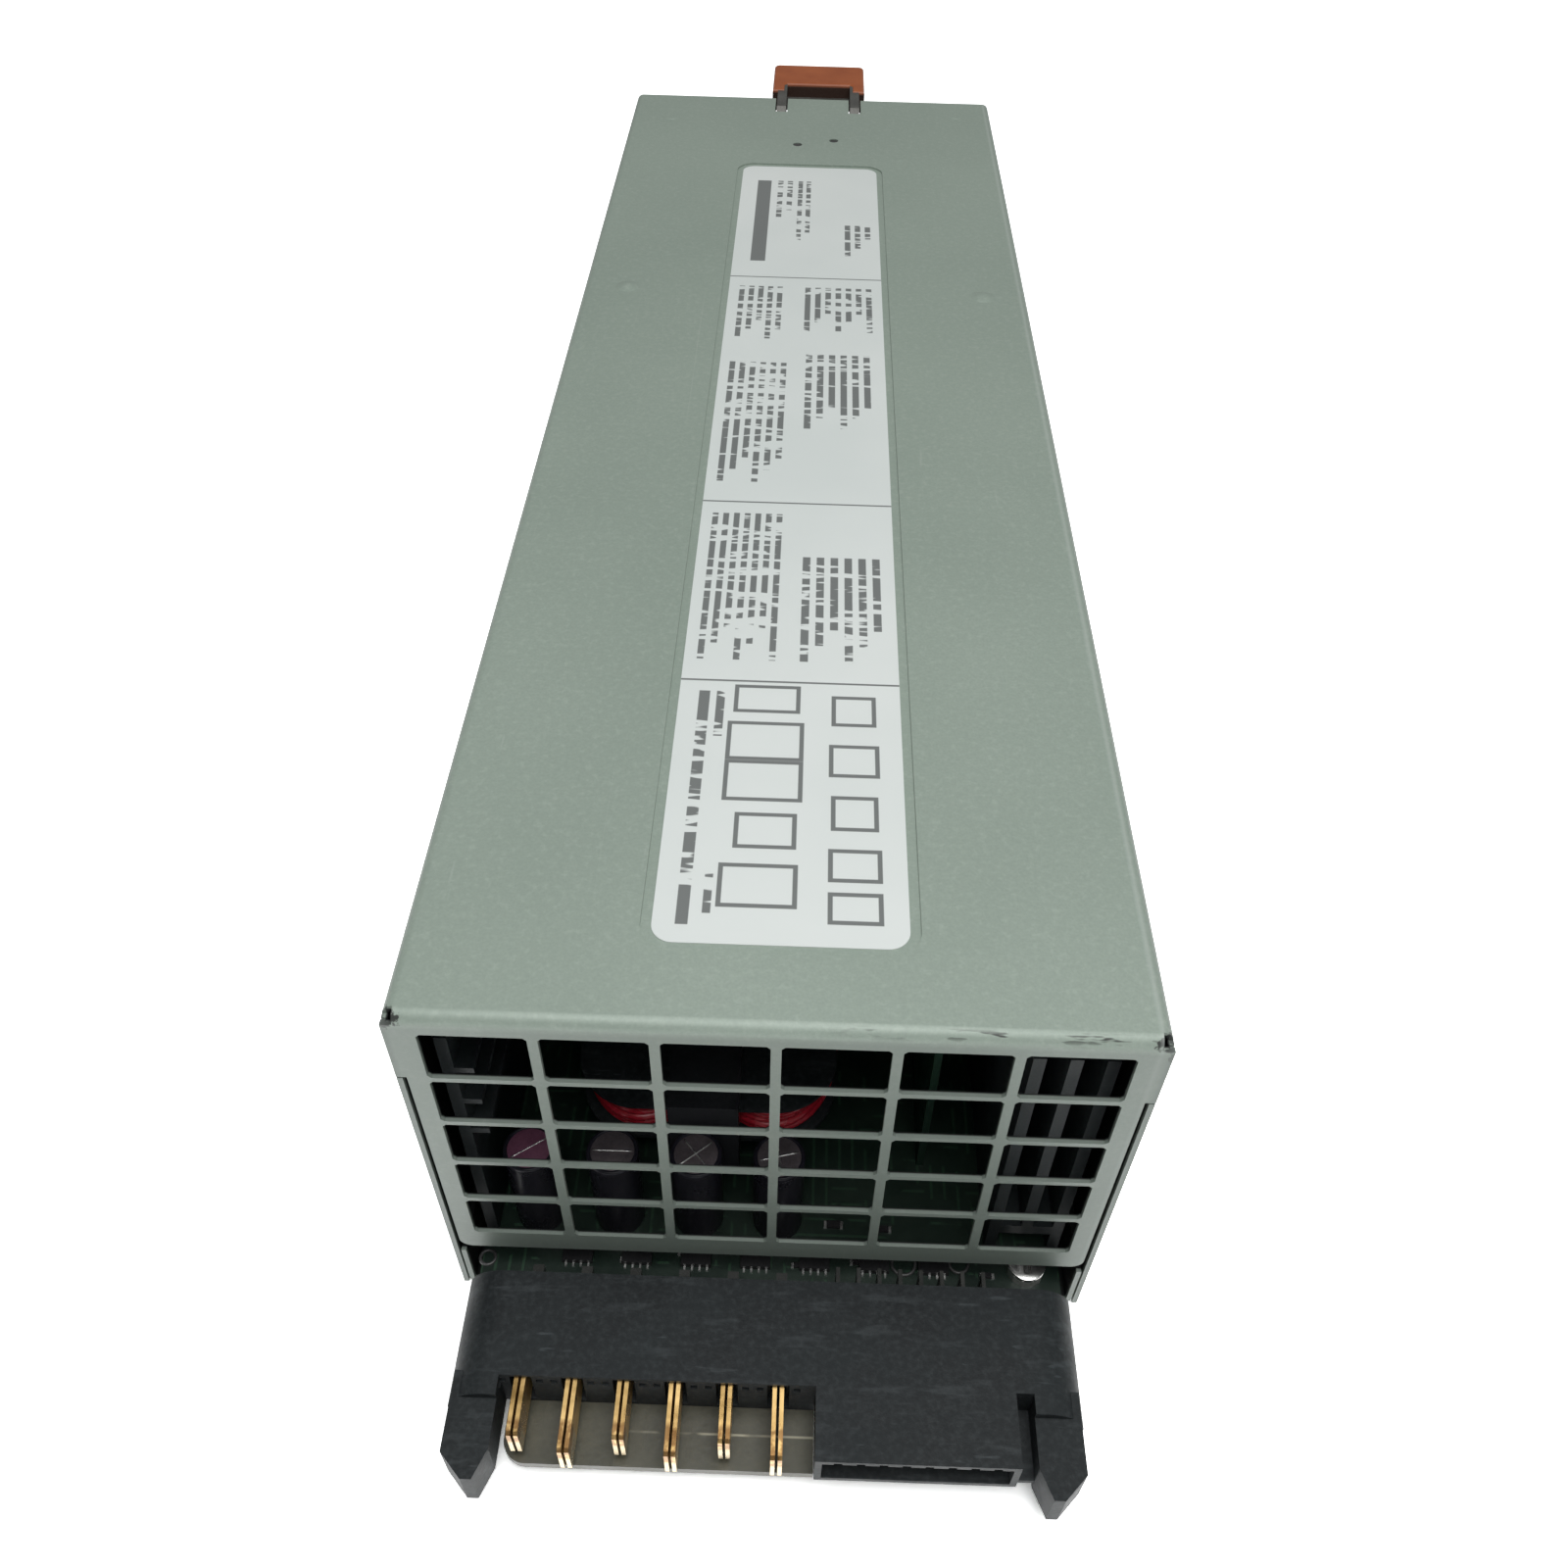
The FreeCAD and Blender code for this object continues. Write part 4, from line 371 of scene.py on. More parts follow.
# inner faces of the sheet painted near-black, as painted shade
from_rear = maths(tree, "SUBTRACT", rear_y, axes["Y"])
depths = (from_front, from_side, from_top, from_rear, axes["Z"])
inside = both(tree, *[over(tree, depth, 0.6 * MM, 0.1 * MM) for depth in depths])
base = mix_colour(tree, inside, base, (0.006, 0.007, 0.007, 1))
tree.links.new(base, shader.inputs["Base Color"])
gloss = add_node(tree, "MapRange", Value=marks["Slow"], To_Min=0.40, To_Max=0.52).outputs["Result"]
tree.links.new(gloss, shader.inputs["Roughness"])
shader.inputs["Metallic"].default_value = 0.1
bump(tree, shader, marks["Height"], 0.5, 0.03 * MM)
finish_nodes(case_paint, "top_cover", "base_pan", "front_plate")
print("painted", case_paint.name)

# %% [markdown]
# ## The label
# A white polyester film lies in a shallow recess. It is left without words: thin rules divide it
# into four fields, and plain grey bars and empty frames stand where a form is filled in.

# %% Label film with rules, bars and frames
label_low, label_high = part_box("rating_label")
label_width, label_length = label_high.x - label_low.x, label_high.y - label_low.y
ink_edge = 0.05 * MM
label_film, tree, shader = new_material("label_film")
marks = use_group(tree, "speckle", Grain=0.25, Clouds=60.0)
base = mix_colour(tree, marks["Slow"], (0.60, 0.64, 0.625, 1), (0.67, 0.70, 0.685, 1))
axes = place_axes(tree)


def on_label(tree, left, right, low, high):
    """A filled rectangle on the label, in shares of its width and length."""
    left, right = [label_low.x + share * label_width for share in (left, right)]
    low, high = [label_low.y + share * label_length for share in (low, high)]
    return both(tree, band(tree, axes["X"], left, right, ink_edge),
                band(tree, axes["Y"], low, high, ink_edge))


def add_ink(tree, ink, *rows):
    """Add filled rectangles to an ink mask."""
    for row in rows:
        spot = on_label(tree, *row)
        ink = spot if ink is None else maths(tree, "MAXIMUM", ink, spot)
    return ink


ink = add_ink(tree, None, *[(0.0, 1.0, share - 0.0008, share + 0.0008) for share in (0.205, 0.399, 0.753)])
bars = []
# each block: first bar, number of bars, pitch, near end, far end
blocks = [(0.06, 7, 0.056, 0.225, 0.385), (0.54, 6, 0.07, 0.225, 0.335), (0.06, 6, 0.062, 0.425, 0.60),
          (0.52, 6, 0.07, 0.50, 0.615), (0.07, 5, 0.062, 0.64, 0.735), (0.50, 7, 0.066, 0.655, 0.735),
          (0.27, 2, 0.07, 0.88, 0.965), (0.42, 2, 0.06, 0.83, 0.965), (0.76, 3, 0.07, 0.80, 0.865),
          (0.09, 1, 0.09, 0.012, 0.195), (0.17, 1, 0.07, 0.155, 0.195), (0.19, 1, 0.06, 0.02, 0.05)]
for start, count, pitch, low, high in blocks:
    for place in range(count):
        across = start + pitch * place
        bars.append((across, across + 0.55 * pitch, low + 0.016 * (place % 3), high))
printed = add_ink(tree, None, *bars)
breaks = over(tree, noise(tree, 0.0015, 1.0, (0.2, 1.0, 1.0)), 0.45, 0.02)
ink = maths(tree, "MAXIMUM", ink, maths(tree, "MULTIPLY", printed, breaks))
ink = add_ink(tree, ink, (0.12, 0.22, 0.785, 0.965))
empty_frames = [(0.40, 0.189, 0.30, 0.025), (0.40, 0.152, 0.34, 0.033), (0.40, 0.119, 0.34, 0.033),
                (0.42, 0.080, 0.26, 0.027), (0.40, 0.040, 0.32, 0.031), (0.79, 0.180, 0.20, 0.027),
                (0.79, 0.137, 0.22, 0.027), (0.79, 0.095, 0.20, 0.027), (0.79, 0.056, 0.22, 0.024),
                (0.79, 0.026, 0.22, 0.022)]
for across, along, wide, tall in empty_frames:
    left, right, low, high = across - wide / 2, across + wide / 2, along - tall / 2, along + tall / 2
    outer = on_label(tree, left, right, low, high)
    inner = on_label(tree, left + 0.02, right - 0.02, low + 0.0028, high - 0.0028)
    ink = maths(tree, "MAXIMUM", ink, maths(tree, "SUBTRACT", outer, inner, True))
base = mix_colour(tree, maths(tree, "MULTIPLY", ink, 0.82), base, (0.055, 0.06, 0.06, 1))
tree.links.new(base, shader.inputs["Base Color"])
shader.inputs["Roughness"].default_value = 0.36
bump(tree, shader, marks["Height"], 0.3, 0.01 * MM)
finish_nodes(label_film, "rating_label")
print("label", round(label_length / MM, 1), "mm long")

# %% [markdown]
# ## Metals, plastics and boards
# The rest of the finishes are one recipe with different tones, grain and gloss. Heat sinks, capacitor
# sleeves, ferrite, chips and the inner boards are set to shine less than the others.

# %% Plain finishes
plated_steel = grained("plated_steel", (0.42, 0.42, 0.40), (0.58, 0.58, 0.56),
                       0.3, 8.0, (0.28, 0.42), 0.008, 0.9)
bright_steel = grained("bright_steel", (0.62, 0.62, 0.60), (0.78, 0.78, 0.76),
                       0.25, 5.0, (0.18, 0.30), 0.006, 0.95)
dark_rivet = grained("dark_rivet", (0.05, 0.05, 0.05), (0.12, 0.12, 0.12), 0.3, 4.0, (0.4, 0.55), 0.01, 0.6)
# the inner board is painted near-black green as painted shade inside the case
shaded_inner_board = grained("shaded_inner_board", (0.007, 0.022, 0.014), (0.013, 0.038, 0.022),
                      1.0, 10.0, (0.35, 0.5), 0.02)
ferrite = grained("ferrite", (0.010, 0.011, 0.013), (0.022, 0.023, 0.026), 0.4, 8.0, (0.45, 0.6), 0.02)
red_enamel = grained("red_enamel", (0.30, 0.009, 0.020), (0.52, 0.024, 0.042),
                     0.9, 7.0, (0.22, 0.34), 0.012)
yellow_tape = grained("yellow_tape", (0.20, 0.14, 0.03), (0.3, 0.22, 0.05), 1.5, 12.0, (0.3, 0.4), 0.01)
# the heat sinks are painted near-black as painted shade inside the case
shaded_heatsink = grained("shaded_heatsink", (0.010, 0.013, 0.014), (0.022, 0.027, 0.028),
                         0.4, 9.0, (0.38, 0.55), 0.015)
chip_epoxy = grained("chip_epoxy", (0.010, 0.010, 0.011), (0.022, 0.022, 0.023),
                     0.2, 6.0, (0.4, 0.55), 0.01)
film_box = grained("film_box", (0.30, 0.22, 0.04), (0.4, 0.30, 0.06), 0.6, 9.0, (0.4, 0.5), 0.01)
fan_plastic = grained("fan_plastic", (0.022, 0.022, 0.024), (0.042, 0.042, 0.045),
                      0.4, 14.0, (0.4, 0.55), 0.015)
copper = grained("copper", (0.40, 0.17, 0.09), (0.62, 0.30, 0.17), 0.4, 5.0, (0.3, 0.45), 0.01, 0.9)
aged_steel = grained("aged_steel", (0.07, 0.068, 0.062), (0.15, 0.148, 0.138),
                     0.4, 5.0, (0.42, 0.6), 0.01, 0.5)
sleeve = grained("capacitor_sleeve", (0.008, 0.008, 0.011), (0.016, 0.015, 0.022),
                 0.5, 6.0, (0.25, 0.35), 0.008)
can_top = grained("can_top", (0.085, 0.072, 0.078), (0.14, 0.12, 0.13), 0.35, 3.0, (0.35, 0.5), 0.01, 0.5)
pink_top = grained("pink_top", (0.13, 0.045, 0.085), (0.20, 0.08, 0.13), 0.35, 3.0, (0.35, 0.5), 0.01, 0.3)
lens_clear = grained("lens_clear", (0.35, 0.42, 0.33), (0.5, 0.58, 0.47), 0.8, 6.0, (0.12, 0.2), 0.005)
insulator = grained("insulator", (0.4, 0.39, 0.34), (0.5, 0.48, 0.43), 0.8, 20.0, (0.4, 0.5), 0.01)
solder = grained("solder", (0.55, 0.56, 0.55), (0.72, 0.72, 0.70), 0.2, 2.0, (0.2, 0.35), 0.01, 0.9)
for dull in (shaded_heatsink, sleeve, ferrite, chip_epoxy, shaded_inner_board):
    dull.node_tree.nodes["Principled BSDF"].inputs["Specular IOR Level"].default_value = 0.18

# %% [markdown]
# The grip is moulded in orange-brown plastic. Below its top and on the face turned to the case it is
# painted nearly black, as painted shade.

# %% Grip plastic
latch_plastic, tree, shader = new_material("latch_plastic")
grip_low, grip_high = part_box("latch_grip")
marks = use_group(tree, "speckle", Grain=0.5, Clouds=9.0)
base = mix_colour(tree, marks["Slow"], (0.285, 0.068, 0.017, 1), (0.355, 0.094, 0.026, 1))
axes = place_axes(tree)
# painted shade below the top of the grip and on its face turned to the case
under = grip_low.z - 4 * MM
below = band(tree, axes["Z"], under, grip_high.z - 2.2 * MM, 0.7 * MM)
facing = both(tree, band(tree, axes["Z"], under, grip_high.z - 0.1 * MM, 0.3 * MM),
              band(tree, axes["Y"], grip_low.y - 1 * MM, grip_low.y + 7.9 * MM, 0.2 * MM))
grip_shade = maths(tree, "MAXIMUM", below, facing)
base = mix_colour(tree, maths(tree, "MULTIPLY", grip_shade, 0.93), base, (0.016, 0.012, 0.010, 1))
tree.links.new(base, shader.inputs["Base Color"])
shader.inputs["Roughness"].default_value = 0.5
bump(tree, shader, marks["Height"], 0.5, 0.03 * MM)

# %% [markdown]
# The connector is glass-filled plastic: nearly black with a cool tint, pale where it has been
# rubbed, and drawn with faint lines where the melt flowed into the mould.

# %% Connector plastic
connector_plastic, tree, shader = new_material("connector_plastic")
marks = use_group(tree, "speckle", Grain=0.5, Clouds=9.0)
base = mix_colour(tree, marks["Slow"], (0.0060, 0.0080, 0.0092, 1), (0.0135, 0.0170, 0.0185, 1))
fleck = use_group(tree, "speckle", Grain=0.9, Clouds=4.0)
flecks = maths(tree, "MULTIPLY", maths(tree, "POWER", fleck["Fine"], 2.0), 0.5)
base = mix_colour(tree, flecks, base, (0.032, 0.038, 0.040, 1))
rubs = use_group(tree, "scratches", Across=170.0, Along=900.0, Amount=0.66)["Mask"]
patches = over(tree, noise(tree, 11 * MM, 3.0), 0.56, 0.08)
rubs = maths(tree, "MULTIPLY", both(tree, rubs, patches), 0.45)
base = mix_colour(tree, rubs, base, (0.075, 0.088, 0.094, 1))
flow = maths(tree, "MULTIPLY", over(tree, noise(tree, 4 * MM, 3.0, (0.35, 1.6, 1.0)), 0.62, 0.05), 0.3)
base = mix_colour(tree, flow, base, (0.055, 0.064, 0.068, 1))
tree.links.new(base, shader.inputs["Base Color"])
gloss = add_node(tree, "MapRange", Value=marks["Slow"], To_Min=0.5, To_Max=0.68).outputs["Result"]
tree.links.new(gloss, shader.inputs["Roughness"])
shader.inputs["Specular IOR Level"].default_value = 0.25
bump(tree, shader, marks["Height"], 0.7, 0.05 * MM)

# %% [markdown]
# Each blade is bright gold along its run, brown where its upper tip has rubbed off and pale at its
# lower tip. Behind the housing both blades and pins are painted nearly black, as painted shade.

# %% Gold contacts
contact_gold, tree, shader = new_material("contact_gold")
blade_low, blade_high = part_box("power_blade_2")
marks = use_group(tree, "speckle", Grain=0.5, Clouds=5.0)
base = mix_colour(tree, marks["Slow"], (0.56, 0.34, 0.115, 1), (0.86, 0.60, 0.26, 1))
axes = place_axes(tree)
tip_zone = band(tree, axes["Y"], blade_low.y - 1 * MM, blade_low.y + 4.2 * MM, 0.4 * MM)
upper = over(tree, axes["Z"], (blade_low.z + blade_high.z) / 2 + 1.2 * MM, 0.6 * MM)
rub = over(tree, noise(tree, 1.6 * MM, 2.0), 0.40, 0.08)
brown_tip = maths(tree, "MULTIPLY", both(tree, tip_zone, upper, rub), 0.75)
base = mix_colour(tree, brown_tip, base, (0.20, 0.085, 0.03, 1))
lower = maths(tree, "SUBTRACT", 1.0, upper)
pale_tip = maths(tree, "MULTIPLY", both(tree, tip_zone, lower), 0.7)
base = mix_colour(tree, pale_tip, base, (0.62, 0.56, 0.42, 1))
# painted shade: blades and pins behind the housing are painted nearly black
tail_shade = over(tree, axes["Y"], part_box("connector_housing")[1].y, 0.1 * MM)
base = mix_colour(tree, tail_shade, base, (0.035, 0.036, 0.034, 1))
tree.links.new(base, shader.inputs["Base Color"])
gloss = add_node(tree, "MapRange", Value=marks["Slow"], To_Min=0.22, To_Max=0.38).outputs["Result"]
tree.links.new(gloss, shader.inputs["Roughness"])
metal = add_node(tree, "MapRange", Value=tail_shade, To_Min=0.9, To_Max=0.2).outputs["Result"]
tree.links.new(metal, shader.inputs["Metallic"])
bump(tree, shader, marks["Height"], 0.4, 0.01 * MM)

# %% [markdown]
# The board is olive where its bare tongue lies under the blades, with a pale line where the mask
# ends; inside the case it is painted very dark green as painted shade, with copper tracks under the mask.

# %% Circuit board
circuit_board, tree, shader = new_material("circuit_board")
marks = use_group(tree, "speckle", Grain=1.0, Clouds=14.0)
axes = place_axes(tree)
olive = mix_colour(tree, marks["Slow"], (0.040, 0.040, 0.027, 1), (0.061, 0.060, 0.040, 1))
olive = mix_colour(tree, maths(tree, "MULTIPLY", marks["Fine"], 0.25), olive, (0.092, 0.09, 0.062, 1))
housing_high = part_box("connector_housing")[1]
line_y = board_low.y + 4.8 * MM
pale = both(tree, band(tree, axes["Y"], line_y, line_y + 0.3 * MM, 0.1 * MM),
            over(tree, axes["X"], -19 * MM, 4 * MM), over(tree, noise(tree, 6 * MM), 0.42, 0.1))
olive = mix_colour(tree, maths(tree, "MULTIPLY", pale, 0.6), olive, (0.50, 0.48, 0.36, 1))
# inside the case the board is painted very dark green, as painted shade
green = mix_colour(tree, marks["Slow"], (0.006, 0.014, 0.010, 1), (0.012, 0.026, 0.017, 1))
half_track = 0.22 * MM
pick = over(tree, noise(tree, 9 * MM, 1.0), 0.5, 0.01)
lengthwise = maths(tree, "LESS_THAN", maths(tree, "PINGPONG", axes["X"], 1.1 * MM), half_track)
crosswise = maths(tree, "LESS_THAN", maths(tree, "PINGPONG", axes["Y"], 1.4 * MM), half_track)
tracks = maths(tree, "ADD", both(tree, lengthwise, pick),
               both(tree, crosswise, maths(tree, "SUBTRACT", 1.0, pick)), True)
tracks = both(tree, tracks, over(tree, noise(tree, 5 * MM, 1.0), 0.5, 0.02))
green = mix_colour(tree, tracks, green, (0.020, 0.048, 0.028, 1))
within = over(tree, axes["Y"], housing_high.y - 1 * MM, 0.2 * MM)
base = mix_colour(tree, within, olive, green)
tree.links.new(base, shader.inputs["Base Color"])
gloss = add_node(tree, "MapRange", Value=marks["Slow"], To_Min=0.32, To_Max=0.48).outputs["Result"]
tree.links.new(gloss, shader.inputs["Roughness"])
relief = maths(tree, "ADD", marks["Height"], maths(tree, "MULTIPLY", tracks, 0.5))
bump(tree, shader, relief, 0.5, 0.04 * MM)

# %% Which solid gets which finish
finish_nodes(connector_plastic, "connector_housing", "inlet_housing", "choke_bobbin")
finish_nodes(plated_steel, "board_standoffs", "board_screws", "fan_shaft", "fan_guard", "fan_screws",
             "inlet_pins", "pull_handle", "latch_pin", "latch_bracket", "latch_spring", "cover_screws")
finish_nodes(aged_steel, "latch_lever")
finish_nodes(dark_rivet, "latch_rivets")
finish_nodes(contact_gold, "signal_pins", *[f"power_blade_{place}" for place in range(1, 7)])
finish_nodes(circuit_board, "main_board")
finish_nodes(shaded_inner_board, "control_board")
finish_nodes(ferrite, "choke_core_upper", "choke_core_lower", "transformer_core")
finish_nodes(red_enamel, "choke_winding")
finish_nodes(yellow_tape, "transformer_winding")
finish_nodes(shaded_heatsink, "heatsink_left", "heatsink_right")
finish_nodes(chip_epoxy, "power_transistors", "control_chips", "bridge_rectifier", "surface_chips")
finish_nodes(film_box, "film_capacitors")
finish_nodes(fan_plastic, "fan_frame", "fan_rotor")
finish_nodes(copper, "inlet_busbars")
finish_nodes(latch_plastic, "latch_grip")
finish_nodes(sleeve, *[f"output_capacitor_{place}" for place in range(1, 5)], "bulk_capacitor_1",
             "bulk_capacitor_2")
finish_nodes(lens_clear, "status_lens_1", "status_lens_2", "status_lens_3")
finish_nodes(insulator, "insulator_sheet")
print(len(bpy.data.materials), "finishes")

# %% [markdown]
# ## Pieces too fine for a solid
# Each new piece is a grid of points worked out with numpy, and rides on the body that carries it.
# `shells` finds the separate bodies inside one node, so that a piece can be set on each of them.


# %% Tools for pieces
def grid_faces(rows, columns, wrap=False):
    """Quads between neighbouring points; columns close on themselves, and rows too where wrap is set."""
    faces = []
    for row in range(rows if wrap else rows - 1):
        below = (row + 1) % rows
        for column in range(columns):
            after = (column + 1) % columns
            faces.append((row * columns + column, row * columns + after, below * columns + after,
                          below * columns + column))
    return faces


def lathe(centre, profile, columns=48):
    """Turn (radius, height) pairs about the vertical line through centre: x = r cos t, y = r sin t."""
    turn = np.linspace(0, 2 * np.pi, columns, endpoint=False)
    rows = [np.stack([centre[0] + radius * np.cos(turn), centre[1] + radius * np.sin(turn),
                      np.full(columns, centre[2] + level)], axis=1) for radius, level in profile]
    return np.concatenate(rows), grid_faces(len(profile), columns)


def tube(path, radius, sides=10, closed=False, normal=(0, 0, 1)):
    """A round wire along a path: rings of points p + r (cos t side + sin t up), square to the path."""
    path = np.asarray(path, dtype=float)
    ahead = np.roll(path, -1, 0) - np.roll(path, 1, 0) if closed else np.gradient(path, axis=0)
    ahead /= np.linalg.norm(ahead, axis=1)[:, None]
    side = np.cross(ahead, np.array(normal, dtype=float))
    side /= np.linalg.norm(side, axis=1)[:, None]
    up = np.cross(ahead, side)
    turn = np.linspace(0, 2 * np.pi, sides, endpoint=False)
    rings = path[:, None, :] + radius * (np.cos(turn)[None, :, None] * side[:, None, :]
                                         + np.sin(turn)[None, :, None] * up[:, None, :])
    faces = grid_faces(len(path), sides, closed)
    if not closed:
        last = (len(path) - 1) * sides
        faces += [tuple(range(sides))[::-1], tuple(range(last, last + sides))]
    return rings.reshape(-1, 3), faces


def stack(loops):
    """Closed outlines one above the other, with a face on the first and on the last one."""
    loops = np.asarray(loops, dtype=float)
    rows, columns = loops.shape[:2]
    last = (rows - 1) * columns
    return loops.reshape(-1, 3), grid_faces(rows, columns) + [tuple(range(columns))[::-1],
                                                              tuple(range(last, last + columns))]


def add_piece(name, parts, finish, body="chassis", smooth=True):
    """Join (points, faces) pairs into one object with a finish, and let it ride on a body."""
    corners, polygons = [], []
    for points, faces in parts:
        polygons += [tuple(index + len(corners) for index in face) for face in faces]
        corners += [tuple(point) for point in points]
    mesh = bpy.data.meshes.new(name)
    mesh.from_pydata(corners, [], polygons)
    mesh.polygons.foreach_set("use_smooth", [smooth] * len(polygons))
    mesh.materials.append(finish)
    mesh.update()
    made = bpy.data.objects.new(name, mesh)
    bpy.context.scene.collection.objects.link(made)
    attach(made, body)
    return made


def shells(node):
    """The low and high corners of each separate body in a node, from left to right."""
    mesh = nodes[node].data
    corners = np.empty(3 * len(mesh.vertices))
    mesh.vertices.foreach_get("co", corners)
    corners = corners.reshape(-1, 3)
    known = np.unique(np.round(corners / 1e-6).astype(np.int64), axis=0, return_inverse=True)[1].reshape(-1)
    owner = list(range(known.max() + 1))

    def root(place):
        while owner[place] != place:
            owner[place] = owner[owner[place]]
            place = owner[place]
        return place

    for polygon in mesh.polygons:
        first = root(known[polygon.vertices[0]])
        for vertex in polygon.vertices[1:]:
            owner[root(known[vertex])] = first
    groups = {}
    for vertex, place in enumerate(known):
        groups.setdefault(root(place), []).append(vertex)
    found = [(Vector(corners[group].min(axis=0)), Vector(corners[group].max(axis=0)))
             for group in groups.values()]
    return sorted(found, key=lambda pair: (round(pair[0].x, 4), round(pair[0].y, 4), pair[0].z))


def pan_head(centre, radius, height, right=(1, 0, 0), up=(0, 1, 0)):
    """A domed head with a cross recess: w = h (1 - 0.4 s^2.4) less 0.75 h inside the cross, s = r / R."""
    turn = np.linspace(0, 2 * np.pi, 72, endpoint=False)
    share = np.concatenate([[1.0], np.linspace(1.0, 0.01, 30)])[:, None]
    across, along = share * radius * np.cos(turn), share * radius * np.sin(turn)
    rise = height * (1 - 0.4 * share ** 2.4) + 0 * across
    rise[0] = -0.3 * height

    def within(distance, limit):
        return np.clip((limit - np.abs(distance)) / (0.10 * radius) + 0.5, 0, 1)

    cross = np.maximum(within(across, 0.12 * radius) * within(along, 0.58 * radius),
                       within(along, 0.12 * radius) * within(across, 0.58 * radius))
    rise = rise - 0.75 * height * cross
    right, up = np.array(right, dtype=float), np.array(up, dtype=float)
    out = np.cross(right, up)
    points = np.array(centre) + across[..., None] * right + along[..., None] * up + rise[..., None] * out
    return points.reshape(-1, 3), grid_faces(*across.shape)


print("shells in the board screws:", len(shells("board_screws")))

# %% [markdown]
# The choke is wound from one thick enamelled wire. Its turns bulge forward on each side of the
# ferrite leg and sink in behind it, so each front half looks like a smile.

# %% Choke turns
low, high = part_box("choke_winding")
middle = (low + high) / 2
wire = 0.76 * MM


def winding(turns, inset, phase=0.0):
    """A climbing loop: a superellipse of power 2.7 whose front is drawn in by 0.3 exp(-(x / 8 mm)^2)."""
    turn = np.linspace(0, 2 * np.pi * turns, 120 * turns + 1) + phase
    half_x, half_y = (high.x - low.x) / 2 - inset, (high.y - low.y) / 2 + 1.6 * MM - inset
    across = half_x * np.sign(np.cos(turn)) * np.abs(np.cos(turn)) ** 0.74
    along = half_y * np.sign(np.sin(turn)) * np.abs(np.sin(turn)) ** 0.74
    along = np.where(along < 0, along * (1 - 0.30 * np.exp(-(across / (8 * MM)) ** 2)), along)
    sway = 1 + 0.012 * np.sin(2.3 * turn + 1.0)
    level = np.linspace(low.z + wire, high.z - wire, len(turn))
    return np.stack([middle.x + across * sway, middle.y + along * sway, level], axis=1)


layers = [tube(winding(5, 0.0, 0.5 * np.pi), wire), tube(winding(5, 1.5 * MM, 0.9 * np.pi), wire)]
turns = add_piece("choke_turns", layers, red_enamel)
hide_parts("choke_winding")
print("choke wire", round(2 * wire / MM, 2), "mm thick")

# %% [markdown]
# Each capacitor can has its sleeve curled over the rim, and a bare top scored so that it can vent.

# %% Capacitor tops
def can_parts(low, high, rim, disc, crown, columns):
    """Rim and top of a can, from pairs in mm: how far in from its side, how high over its top."""
    centre, radius = ((low.x + high.x) / 2, (low.y + high.y) / 2, high.z), (high.x - low.x) / 2
    rim = [(radius - inward * MM, level * MM) for inward, level in rim]
    disc = [(radius - inward * MM, level * MM) for inward, level in disc]
    disc.append((0.01 * MM, crown * MM))
    return centre, radius, lathe(centre, rim, columns), lathe(centre, disc, columns)


def score(centre, reach, angle, level, bead):
    """One scored line: a thin bead through the centre of a top, at an angle in degrees."""
    aim = np.array([[math.cos(math.radians(angle)), math.sin(math.radians(angle)), 0.0]])
    along = reach * np.linspace(-1, 1, 9)[:, None]
    return tube(np.array(centre) + along * aim + np.array([0, 0, level]), bead, 8)


rims, discs, scores = [], [], []
small_rim = ((0, -0.9), (-0.08, -0.2), (0, 0.16), (0.3, 0.3), (0.55, 0.2), (0.62, 0.03))
large_rim = ((0, -2), (-0.15, -0.6), (0, 0.3), (0.6, 0.6), (1.3, 0.4), (1.5, 0.05))
for place, angles in ((1, (35,)), (2, (0,)), (3, (40, 130)), (4, (15, 100))):
    low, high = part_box(f"output_capacitor_{place}")
    centre, radius, rim, top = can_parts(low, high, small_rim, ((0.6, 0.05), (0.9, 0.12)), 0.14, 40)
    rims.append(rim)
    if place == 1:
        add_piece("capacitor_top_1", [top], pink_top)
    else:
        discs.append(top)
    scores += [score(centre, radius - 0.95 * MM, angle, 0.14 * MM, 0.12 * MM) for angle in angles]
for place in (1, 2):
    low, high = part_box(f"bulk_capacitor_{place}")
    centre, radius, rim, top = can_parts(low, high, large_rim, ((1.4, 0.1), (2.2, 0.25)), 0.3, 64)
    rims.append(rim)
    discs.append(top)
    scores += [score(centre, radius - 3 * MM, angle, 0.28 * MM, 0.2 * MM) for angle in (0, 60, 120)]
add_piece("capacitor_rims", rims, sleeve)
add_piece("capacitor_tops", discs, can_top)
add_piece("capacitor_scores", scores, solder)
print(len(scores), "scored lines")

# %% [markdown]
# Every screw gets a domed head with a cross recess, set on the flat head of its solid.

# %% Screw heads
heads = []
for low, high in shells("board_screws"):
    middle, radius = (low + high) / 2, (high.x - low.x) / 2
    heads.append(pan_head((middle.x, middle.y, high.z), 1.02 * radius, 0.75 * MM))
for low, high in shells("cover_screws"):
    middle, radius, side = (low + high) / 2, (high.y - low.y) / 2, 1 if high.x > 0 else -1
    outer = high.x if side > 0 else low.x
    heads.append(pan_head((outer, middle.y, middle.z), 1.01 * radius, 0.45 * MM, (0, side, 0), (0, 0, 1)))
for low, high in shells("fan_screws"):
    middle, radius = (low + high) / 2, (high.x - low.x) / 2
    heads.append(pan_head((middle.x, high.y, middle.z), 1.01 * radius, 0.6 * MM, (-1, 0, 0), (0, 0, 1)))
add_piece("screw_heads", heads, bright_steel)
print(len(heads), "screw heads")

# %% [markdown]
# The front edge of the board carries tiny parts: chips with bright feet, and rings round its holes.

# %% Small parts on the board
feet, rings, bodies = [], [], []


